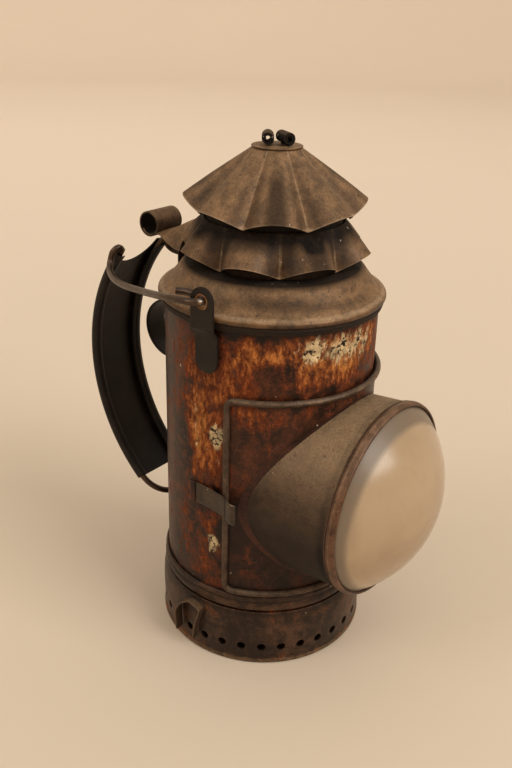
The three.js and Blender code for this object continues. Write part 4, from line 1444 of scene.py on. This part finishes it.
@dataclass
class LensDoor:
    """Hinged door: curved sheet with wired edge, drooping lens tube, bezel, lens and retainer."""

    inner_radius: float = 40.4
    outer_radius: float = 41.0
    left: float = -163.3
    right: float = -18.4
    low: float = 33.9
    high: float = 114.8
    bead_radius: float = 1.2
    bead_path: float = 41.6
    corner: float = 3.0
    tube_front: float = -53.2
    droop: float = -0.083
    lens_plane: float = -56.9
    lens_radius: float = 35.9
    lens_rise: float = 17.5

    def build(self) -> None:
        """Builds every piece of the door."""
        self.sheet()
        self.wired_edge()
        self.tube()
        self.front()
        x, y = polar(HINGE_RADIUS, np.radians(HINGE_ANGLE))
        hinge_knuckle("door_hinge_barrel", 51.4, 96.6, (41.35, 41.95), (-26.0, -15.5), (x, y), "door")

    def centre_height(self, y: np.ndarray) -> np.ndarray:
        """Height of the lens tube's middle, which falls evenly towards the body."""
        return LENS_HEIGHT + self.droop * (y - self.tube_front)

    def tube_line(self, turn: np.ndarray, radius: float, cylinder: float) -> np.ndarray:
        """Where the tube of that radius meets an upright cylinder: x is the radius times the
        cosine, y follows from the cylinder, and z is the tube's middle plus the sine part."""
        x = radius * np.cos(turn)
        y = -np.sqrt(np.maximum(cylinder**2 - x**2, 0))
        return np.stack([x, y, self.centre_height(y) + radius * np.sin(turn)], -1)

    def sheet(self) -> None:
        """Door sheet on its cylinder, with the hole that the lens tube is set in."""
        rim = box_loop(self.left, self.right, self.low, self.high, (64, 44))
        middle = np.array([(self.left + self.right) / 2, (self.low + self.high) / 2])
        aim = np.arctan2((rim[:, 1] - middle[1]) / 40, np.sin(np.radians(rim[:, 0] + 90)) / 0.95)
        edge = self.tube_line(aim, 35.9, self.outer_radius)
        hole = np.stack([np.degrees(np.arctan2(edge[:, 1], edge[:, 0])), edge[:, 2]], -1)
        door = pierced(rim, hole, 20, round_sheet((self.outer_radius, self.inner_radius)), SKINS)
        inside = door.radius < 40.7
        rust = patches(
            door, (0.55, -150, 108, 12, 5), (0.45, -120, 112, 22, 3), (0.5, -152, 47, 8, 9),
            (0.3, -95, 36, 40, 3),
        )
        door.marked(Mark.RUST, rust * ~inside)
        door.marked(Mark.BARE, 0.35 * spot(door, -150, 50, 6, 5) * ~inside)
        gap = np.hypot(door.points[:, 0], door.height - self.centre_height(door.points[:, 1])) - 36.3
        # painted shade round the foot of the lens tube and a painted shadow of the catch's tip; also darker
        # towards the bottom and by the free edge
        shade = (
            0.45 * near(gap, 0.5, 1.6)
            + 0.5 * np.clip((62 - door.height) / 22, 0, 1)
            + 0.3 * spot(door, -160, 75, 3, 40)
            + 0.95 * spot(door, -153.5, 73, 4.5, 4.5)
        )
        door.marked(Mark.SOOT_AND_SHADE, np.where(inside, 0.7, shade))
        SHOP.piece(
            "door_sheet", door,
            JapannedTin(
                "japanned_tin_door", lacquer=(0.018, 0.0082, 0.0052), faded=(0.080, 0.0265, 0.0125),
                rustiness=-0.01,
            ),
            "door", ("door_panel",),
        )

    def wired_edge(self) -> None:
        """Wire rolled into the door's edge: along the bottom, up the free side and back along
        the top, with quarter-round corners, carried with a round section."""
        a = np.degrees(self.corner / self.bead_path)
        q = np.radians(np.linspace(0, 90, 12))
        bow_turn, bow_rise = self.left + a * (1 - np.sin(q)), self.corner * (1 - np.cos(q))
        run = np.linspace(self.right - 1, self.left + a, 110)
        up = np.linspace(self.low + self.corner, self.high - self.corner, 60)
        turn = np.concatenate([run, bow_turn[1:], np.full(58, self.left), bow_turn[::-1], run[::-1][1:]])
        rise = np.concatenate(
            [
                0 * run + self.low, self.low + bow_rise[1:], up[1:-1], self.high - bow_rise[::-1],
                0 * run[1:] + self.high,
            ]
        )
        path = upright(self.bead_path, np.radians(turn), rise)
        out = upright(1.0, np.radians(turn), 0 * turn)
        taper = np.minimum(1, 0.55 + 0.25 * np.minimum(np.arange(len(path)), np.arange(len(path))[::-1]))
        bead = carry(path, disc(self.bead_radius, 18)[None] * taper[:, None, None], out)
        facing = bead.radius
        bead.marked(
            Mark.WEAR_AND_HIGHLIGHT,
            0.45 * np.clip((facing - 42.2) * 2, 0, 1) + 0.25 * near(bead.height, self.high + 1, 0.8),
        )
        # painted shade on the bead's inner side, against the body
        bead.marked(Mark.SOOT_AND_SHADE, 0.6 * (facing < 41.3))
        SHOP.piece(
            "door_wired_edge", bead,
            BronzedTin(
                "bronzed_tin_edge", dark=(0.035, 0.021, 0.014), brown=(0.085, 0.052, 0.033),
                dust=(0.17, 0.115, 0.072), dustiness=0.55,
            ),
            "door",
        )

    def tube(self) -> None:
        """Lens tube: straight lines from the body's cylinder to the front ring, outside and in,
        and a solder fillet, hollow in section, between the tube and the door sheet."""
        turn = np.linspace(0, 2 * np.pi, 240, endpoint=False)[:, None]
        share = np.linspace(0, 1, 26)[None, :]

        def wall(at_body: float, at_front: float) -> np.ndarray:
            """One face of the tube wall."""
            x0 = at_body * np.cos(turn)
            y0 = -np.sqrt(41.1**2 - x0**2)
            y = y0 + (self.tube_front - y0) * share
            r = at_body + (at_front - at_body) * y / self.tube_front
            return np.stack([r * np.cos(turn), y, self.centre_height(y) + r * np.sin(turn)], -1)

        tube = lattice(np.concatenate([wall(36.3, 36.8), wall(35.6, 36.1)[:, ::-1]], 1), joined=True)
        lift = tube.height - self.centre_height(tube.points[:, 1])
        inside = np.hypot(tube.points[:, 0], lift) < 36.25
        around = np.degrees(np.arctan2(lift, tube.points[:, 0]))
        # darker towards the tube's underside and in a band near its front end; inner face darker
        low_side = 0.84 * np.clip(0.90 - np.sin(np.radians(around - 8)) * 1.15, 0, 1)
        tube.marked(Mark.SOOT_AND_SHADE, np.where(inside, 0.9, low_side + 0.25 * near(tube.points[:, 1], -51.5, 1.2)))
        SHOP.piece(
            "lens_tube_wall", tube,
            BronzedTin(
                "bronzed_tin_tube", dark=(0.060, 0.034, 0.019), brown=(0.125, 0.076, 0.042),
                dust=(0.30, 0.200, 0.112), dustiness=0.9, shine=0.2, blotch=0.07,
            ),
            "door", ("lens_tube",),
        )
        t = np.linspace(0, 2 * np.pi, 240, endpoint=False)
        on_sheet = np.stack([self.tube_line(t, 36.32 + e, 41.02) for e in (1.4, 1.05, 0.7, 0.35, 0)], 1)
        on_tube = np.stack([
            self.tube_line(t, 36.36 + 0.02 / (h + 0.1), 41.02) + np.array([0, -h, -self.droop * h])
            for h in (0.25, 0.6, 1.0, 1.5)
        ], 1)
        ring = np.concatenate([on_sheet, on_tube], 1)
        ring[:, 4] = 0.5 * (on_sheet[:, 3] + on_tube[:, 0])
        back = np.stack([self.tube_line(t, 36.2, 41.0)], 1)
        fillet = lattice(np.concatenate([ring, back], 1), joined=True)
        fillet.marked(Mark.SOOT_AND_SHADE, 0.25)
        SHOP.piece(
            "lens_tube_solder", fillet,
            BronzedTin(
                "bronzed_tin_solder", dark=(0.026, 0.012, 0.008), brown=(0.075, 0.024, 0.014),
                dust=(0.11, 0.06, 0.035), dustiness=0.3,
            ),
            "door",
        )

    def front(self) -> None:
        """Bezel of two rolled beads, the domed lens with its flange, and the retaining ring, each
        turned about the lens's axis. The dome is the cap of a sphere whose radius follows from
        its base and rise."""
        bezel = soften(
            [
                [36.95, -53.4], [37.4, -53.4], [37.55, -53.9], [37.5, -54.3], [37.75, -54.9],
                [37.8, -55.6], [37.4, -57.1], [36.9, -57.6], [36.15, -57.5], [36.15, -56.75],
                [36.95, -56.75],
            ],
            0.35, 6,
        )
        ring = revolve(bezel, Axis.LENS, 220)
        depth = ring.points[:, 1]
        radius = np.hypot(ring.points[:, 0], ring.height - LENS_HEIGHT)
        # lighter on the front bead's crest and front edge: rubbing, with painted highlight on the crest
        ring.marked(
            Mark.WEAR_AND_HIGHLIGHT,
            0.6 * near(radius, 37.8, 0.15) * near(depth, -55.5, 0.8) + 0.3 * near(depth, -57.6, 0.2),
        )
        # painted shade in the groove between the two beads; inner face darker
        ring.marked(Mark.SOOT_AND_SHADE, 0.8 * near(depth, -54.1, 0.3) + 0.5 * (radius < 36.5))
        SHOP.piece(
            "lens_bezel_ring", ring,
            BronzedTin(
                "bronzed_tin_bezel", dark=(0.060, 0.027, 0.015), brown=(0.135, 0.066, 0.036),
                dust=(0.23, 0.135, 0.075), dustiness=0.5,
            ),
            "door", ("lens_bezel",),
        )
        sphere = (self.lens_radius**2 + self.lens_rise**2) / (2 * self.lens_rise)
        a = np.linspace(0, np.arcsin(self.lens_radius / sphere), 60)
        dome = np.stack([sphere * np.sin(a), self.lens_plane - self.lens_rise + sphere * (1 - np.cos(a))], -1)
        outline = np.concatenate(
            [dome, [[self.lens_radius, -56.5], [36.7, -56.35], [36.7, -53.8], [0, -53.8]]]
        )
        lens = revolve(outline, Axis.LENS, 200, closed=False)
        aside, lift = lens.points[:, 0], lens.height - LENS_HEIGHT
        out, turn = np.hypot(aside, lift), np.arctan2(lift, aside)
        # a darker blotch low on the glass
        low_blotch = np.exp(-((aside + 6) / 2.5) ** 2 - ((lift + 28) / 1.2) ** 2)
        # painted shade: a darker ring near the edge, stronger on one side, for the thick glass seen at a
        # glancing angle
        rim = np.clip((out - 31.6 + 1.2 * np.sin(turn + 0.6)) / 1.6, 0, 1)
        lens.marked(Mark.SOOT_AND_SHADE, 0.9 * rim + 0.6 * low_blotch)
        SHOP.piece("lens_dome_glass", lens, CloudedGlass(), "door", ("lens",), sharp=40)
        keeper = lathe(
            [[34.2, -53.4], [35.4, -53.4], [35.4, -52.4], [34.2, -52.4]], 0.25, 4, 128, axis=Axis.LENS,
        )
        SHOP.piece("lens_retainer_ring", keeper, TIN, "door", ("lens_retainer",))


@dataclass
class SpringCatch:
    """Sprung tongue that holds the door's wired edge."""

    low: float = 68.3
    high: float = 76.8

    def build(self) -> None:
        """Strip bent in plan, tipped outward at its free end, with an upright section."""
        path = flow(
            [
                [-40.7, 1.5], [-40.75, -3], [-41.2, -7.5], [-41.85, -11.6], [-42.3, -13.4],
                [-43.6, -15.8], [-44.2, -18], [-43.9, -19.8],
            ],
            14,
        )
        middle = (self.low + self.high) / 2
        line = np.stack([path[:, 0], path[:, 1], np.full(len(path), middle)], -1)
        strip = carry(line, slab(self.high - self.low, 0.6, 15, 0.3), (0, 0, 1))
        strip.marked(
            Mark.WEAR_AND_HIGHLIGHT,
            0.5 * near(strip.height, self.high, 0.6)
            + 0.35 * near(strip.height, self.low, 0.6)
            + 0.3 * near(strip.points[:, 1], -18.5, 1.2),
        )
        # darker at the bend
        strip.marked(Mark.SOOT_AND_SHADE, 0.85 * near(strip.points[:, 1], -14.2, 0.7))
        SHOP.piece(
            "latch_spring_strip", strip,
            BronzedTin(
                "catch_tin", dark=(0.022, 0.0145, 0.009), brown=(0.050, 0.033, 0.020),
                dust=(0.080, 0.055, 0.034), shine=0.2,
            ),
            "latch", ("latch_spring",), bevel=0.1,
        )


@dataclass
class BackHandle:
    """Swinging handle: one bent wire and the sheet grip rolled over it."""

    wire_radius: float = 1.35
    arc_y: float = 15.35
    arc_z: float = 98.1
    arc_radius: float = 73.0
    top: float = 41.5
    bottom: float = -50.6
    edge_x: float = 11.7
    roll_radius: float = 2.2
    crown: float = 0.35
    sheet: float = 0.5
    thumb_cut: float = 10.6

    def build(self) -> None:
        """Builds the wire and the grip."""
        self.wire()
        self.grip()

    def arc(self, degrees: np.ndarray, radius: np.ndarray, x: np.ndarray) -> np.ndarray:
        """Point on the grip's arc at that direction, radius and distance across."""
        t = np.radians(degrees)
        return np.stack([x + 0 * t, self.arc_y + radius * np.cos(t), self.arc_z + radius * np.sin(t)], -1)

    def wire(self) -> None:
        """Smooth path from an ear, out and back to the grip, down inside its rolled edge and
        round the bottom; the other half is its mirror image."""
        flare = flow([
            [41.6, 9.5, 150], [40.6, 6.4, 150.1], [40.4, 3.2, 150], [40.7, -0.6, 149.8],
            [41.9, -3.1, 149.65], [43.3, -3.6, 149.6], [44.7, -3.1, 149.55], [45.9, -0.6, 149.4],
            [46, 4, 149.1], [44.2, 13, 147.6], [40.6, 22, 145.6], [36, 32.3, 143.2],
            [29, 49.5, 140], [23.4, 61, 139.1], [18.6, 68, 140.3], [16.3, 69.6, 143.4],
            [15.7, 68.6, 146.6], [13.8, 67.4, 148.1], [12, 67.5, 146.8],
        ], 10)
        reach = self.arc_radius - 1.85
        run = self.arc(np.linspace(self.top - 1.2, self.bottom, 70), reach, self.edge_x)
        t = np.radians(np.linspace(4, 90, 24))
        end = self.arc(np.array([self.bottom]), reach, 0.0)
        down = np.array([0, np.sin(np.radians(self.bottom)), -np.cos(np.radians(self.bottom))])
        loop = (
            end * np.array([0, 1, 1]) + np.stack([self.edge_x * np.cos(t), 0 * t, 0 * t], -1)
            + (self.edge_x + 1) * np.sin(t)[:, None] * down
        )
        half = np.concatenate([flare, run, loop])
        path = np.concatenate([half, half[-2::-1] * np.array([-1, 1, 1])])
        path = resample(path, 620)
        wire = carry(path, disc(self.wire_radius - 0.04, 16), (0.31, 0.62, 0.72))
        at_ear = near(np.abs(wire.points[:, 0]), 44.5, 2.2) * (wire.points[:, 1] < 12)
        wire.marked(Mark.WEAR_AND_HIGHLIGHT, 0.9 * at_ear + 0.35 * (wire.height < 45))
        SHOP.piece("handle_wire_bent", wire, WIRE, "handle", ("handle_wire",))

    def grip(self) -> None:
        """Sheet carried down an arc: flat across, its edges rolled three quarters round the
        wire, and its top end hollowed by a circle for the thumb."""
        a = np.radians(np.linspace(90, 360, 34))

        def side(radius: float, sign: float) -> np.ndarray:
            """Rolled edge as (across, outward) points, from the flat outward."""
            rise = self.crown - self.roll_radius + radius * np.sin(a)
            return np.stack([sign * (self.edge_x - radius * np.cos(a)), rise], -1)

        flat = np.linspace(-self.edge_x, self.edge_x, 46)[1:-1]

        def skin(drop: float) -> np.ndarray:
            """Whole face of the sheet, moved in by a drop."""
            middle = np.stack([flat, np.full(len(flat), self.crown - drop)], -1)
            rolled = self.roll_radius - drop
            return np.concatenate([side(rolled, -1.0)[::-1], middle, side(rolled, 1.0)])

        section = np.concatenate([skin(0.0), skin(self.sheet)[::-1]])
        x = section[:, 0]
        dip = np.degrees(np.sqrt(np.maximum(self.thumb_cut**2 - x**2, 0)) / self.arc_radius)
        share = np.linspace(0, 1, 90)[:, None]
        turn = (self.top - dip)[None] + share * (self.bottom - self.top + dip)[None]
        sheet = lattice(
            self.arc(turn, self.arc_radius - 0.06 + section[None, :, 1] + 0 * turn, x[None] + 0 * turn)
        )
        ridge = np.tile(np.abs(np.abs(x) - self.edge_x - 0.6) < 1.1, 90)
        top, foot = (np.repeat(near(share[:, 0], end, 0.02), len(x)) for end in (0, 1))
        sheet.marked(Mark.WEAR_AND_HIGHLIGHT, 0.35 * ridge + 0.4 * top + 0.3 * foot)
        SHOP.piece(
            "handle_grip_sheet", sheet, BLACK, "handle", ("handle_grip",), sharp=45,
            bevel=0.08,
        )


@dataclass
class Studio:
    """Pale paper sweep, soft lights, and the camera."""

    eye: tuple[float, float, float] = (-0.23996, -0.17821, 0.24205)
    gaze: tuple[float, float, float] = (0.71904, 0.55268, -0.42133)
    roll: float = 1.68
    focal: float = 39.296

    def build(self) -> None:
        """Sets up the whole studio."""
        self.floor()
        self.lights()
        self.camera()

    def floor(self) -> None:
        """Round floor that turns up into a wall all round: flat, then a quarter circle."""
        t = np.radians(np.linspace(-90, 0, 24))
        bowl = np.stack([2.4 + 1.2 * np.cos(t), 1.2 + 1.2 * np.sin(t)], -1)
        outline = np.concatenate([[[0, 0], [0.5, 0], [1.4, 0]], bowl, [[3.6, 2.6]]])
        sweep = revolve(outline * 1000, segments=96, closed=False)
        mesh = bpy.data.meshes.new("studio_floor")
        mesh.from_pydata((sweep.points * MM - np.array([0, 0, 0.00005])).tolist(), [], sweep.faces.tolist())
        mesh.validate()
        mesh.shade_smooth()
        floor = bpy.data.objects.new("studio_floor", mesh)
        mesh.materials.append(SHOP.finish(FloorPaper()))
        bpy.context.scene.collection.objects.link(floor)

    def lamp(self, name: str, at: tuple[float, float, float], size: float, power: float,
             tint: Colour, aim: tuple[float, float, float] = (0, 0, 0.1)) -> None:
        """Square soft light aimed at a point.

        Args:
            name: name of the light.
            at: its place in metres.
            size: length of its side in metres.
            power: its strength in watts.
            tint: its colour.
            aim: the point it faces.
        """
        data = bpy.data.lights.new(name, "AREA")
        data.size, data.energy, data.color = size, power, tint
        lamp = bpy.data.objects.new(name, data)
        lamp.location = at
        lamp.rotation_euler = (Vector(aim) - Vector(at)).to_track_quat("-Z", "Y").to_euler()
        bpy.context.scene.collection.objects.link(lamp)

    def lights(self) -> None:
        """Even warm surroundings, a large soft light in front and a weaker one at the side."""
        world = bpy.data.worlds.new("studio_air")
        world.use_nodes = True
        world.node_tree.nodes["Background"].inputs["Color"].default_value = (1.0, 0.93, 0.84, 1)
        world.node_tree.nodes["Background"].inputs["Strength"].default_value = 0.70
        bpy.context.scene.world = world
        bpy.context.scene.view_settings.view_transform = "Standard"
        self.lamp("key_light", (0.1, -2.2, 1.75), 1.5, 42, (1.0, 0.96, 0.90))
        self.lamp("side_light", (-1.8, 1.0, 1.6), 1.2, 12, (1.0, 0.96, 0.9))
        self.lamp("wall_light", (0.3, 0.9, 2.4), 2.4, 31, (1.0, 0.97, 0.94), (2.0, 2.8, 1.5))

    def camera(self) -> None:
        """Places the camera by its eye point, gaze and roll."""
        data = bpy.data.cameras.new("camera")
        data.lens, data.sensor_width, data.sensor_fit = self.focal, 36.0, "AUTO"
        data.clip_start, data.clip_end = 0.01, 20.0
        camera = bpy.data.objects.new("camera", data)
        ahead = Vector(self.gaze).normalized()
        right = ahead.cross(Vector((0, 0, 1))).normalized()
        up = right.cross(ahead)
        c, s = np.cos(np.radians(self.roll)), np.sin(np.radians(self.roll))
        axes = (right * c + up * s, up * c - right * s, -ahead)
        facing = Matrix([list(v) for v in axes]).transposed().to_4x4()
        camera.matrix_world = Matrix.Translation(self.eye) @ facing
        bpy.context.scene.collection.objects.link(camera)
        bpy.context.scene.camera = camera


def main() -> None:
    """Builds the studio and the lantern's sub-assemblies in order."""
    logging.basicConfig(level=logging.INFO, format="%(message)s")
    for part in (Studio(), Base(), Body(), ChimneyHead(), LensDoor(), SpringCatch(), BackHandle()):
        LOG.info("building %s", type(part).__name__)
        part.build()


if __name__ == "__main__":
    main()
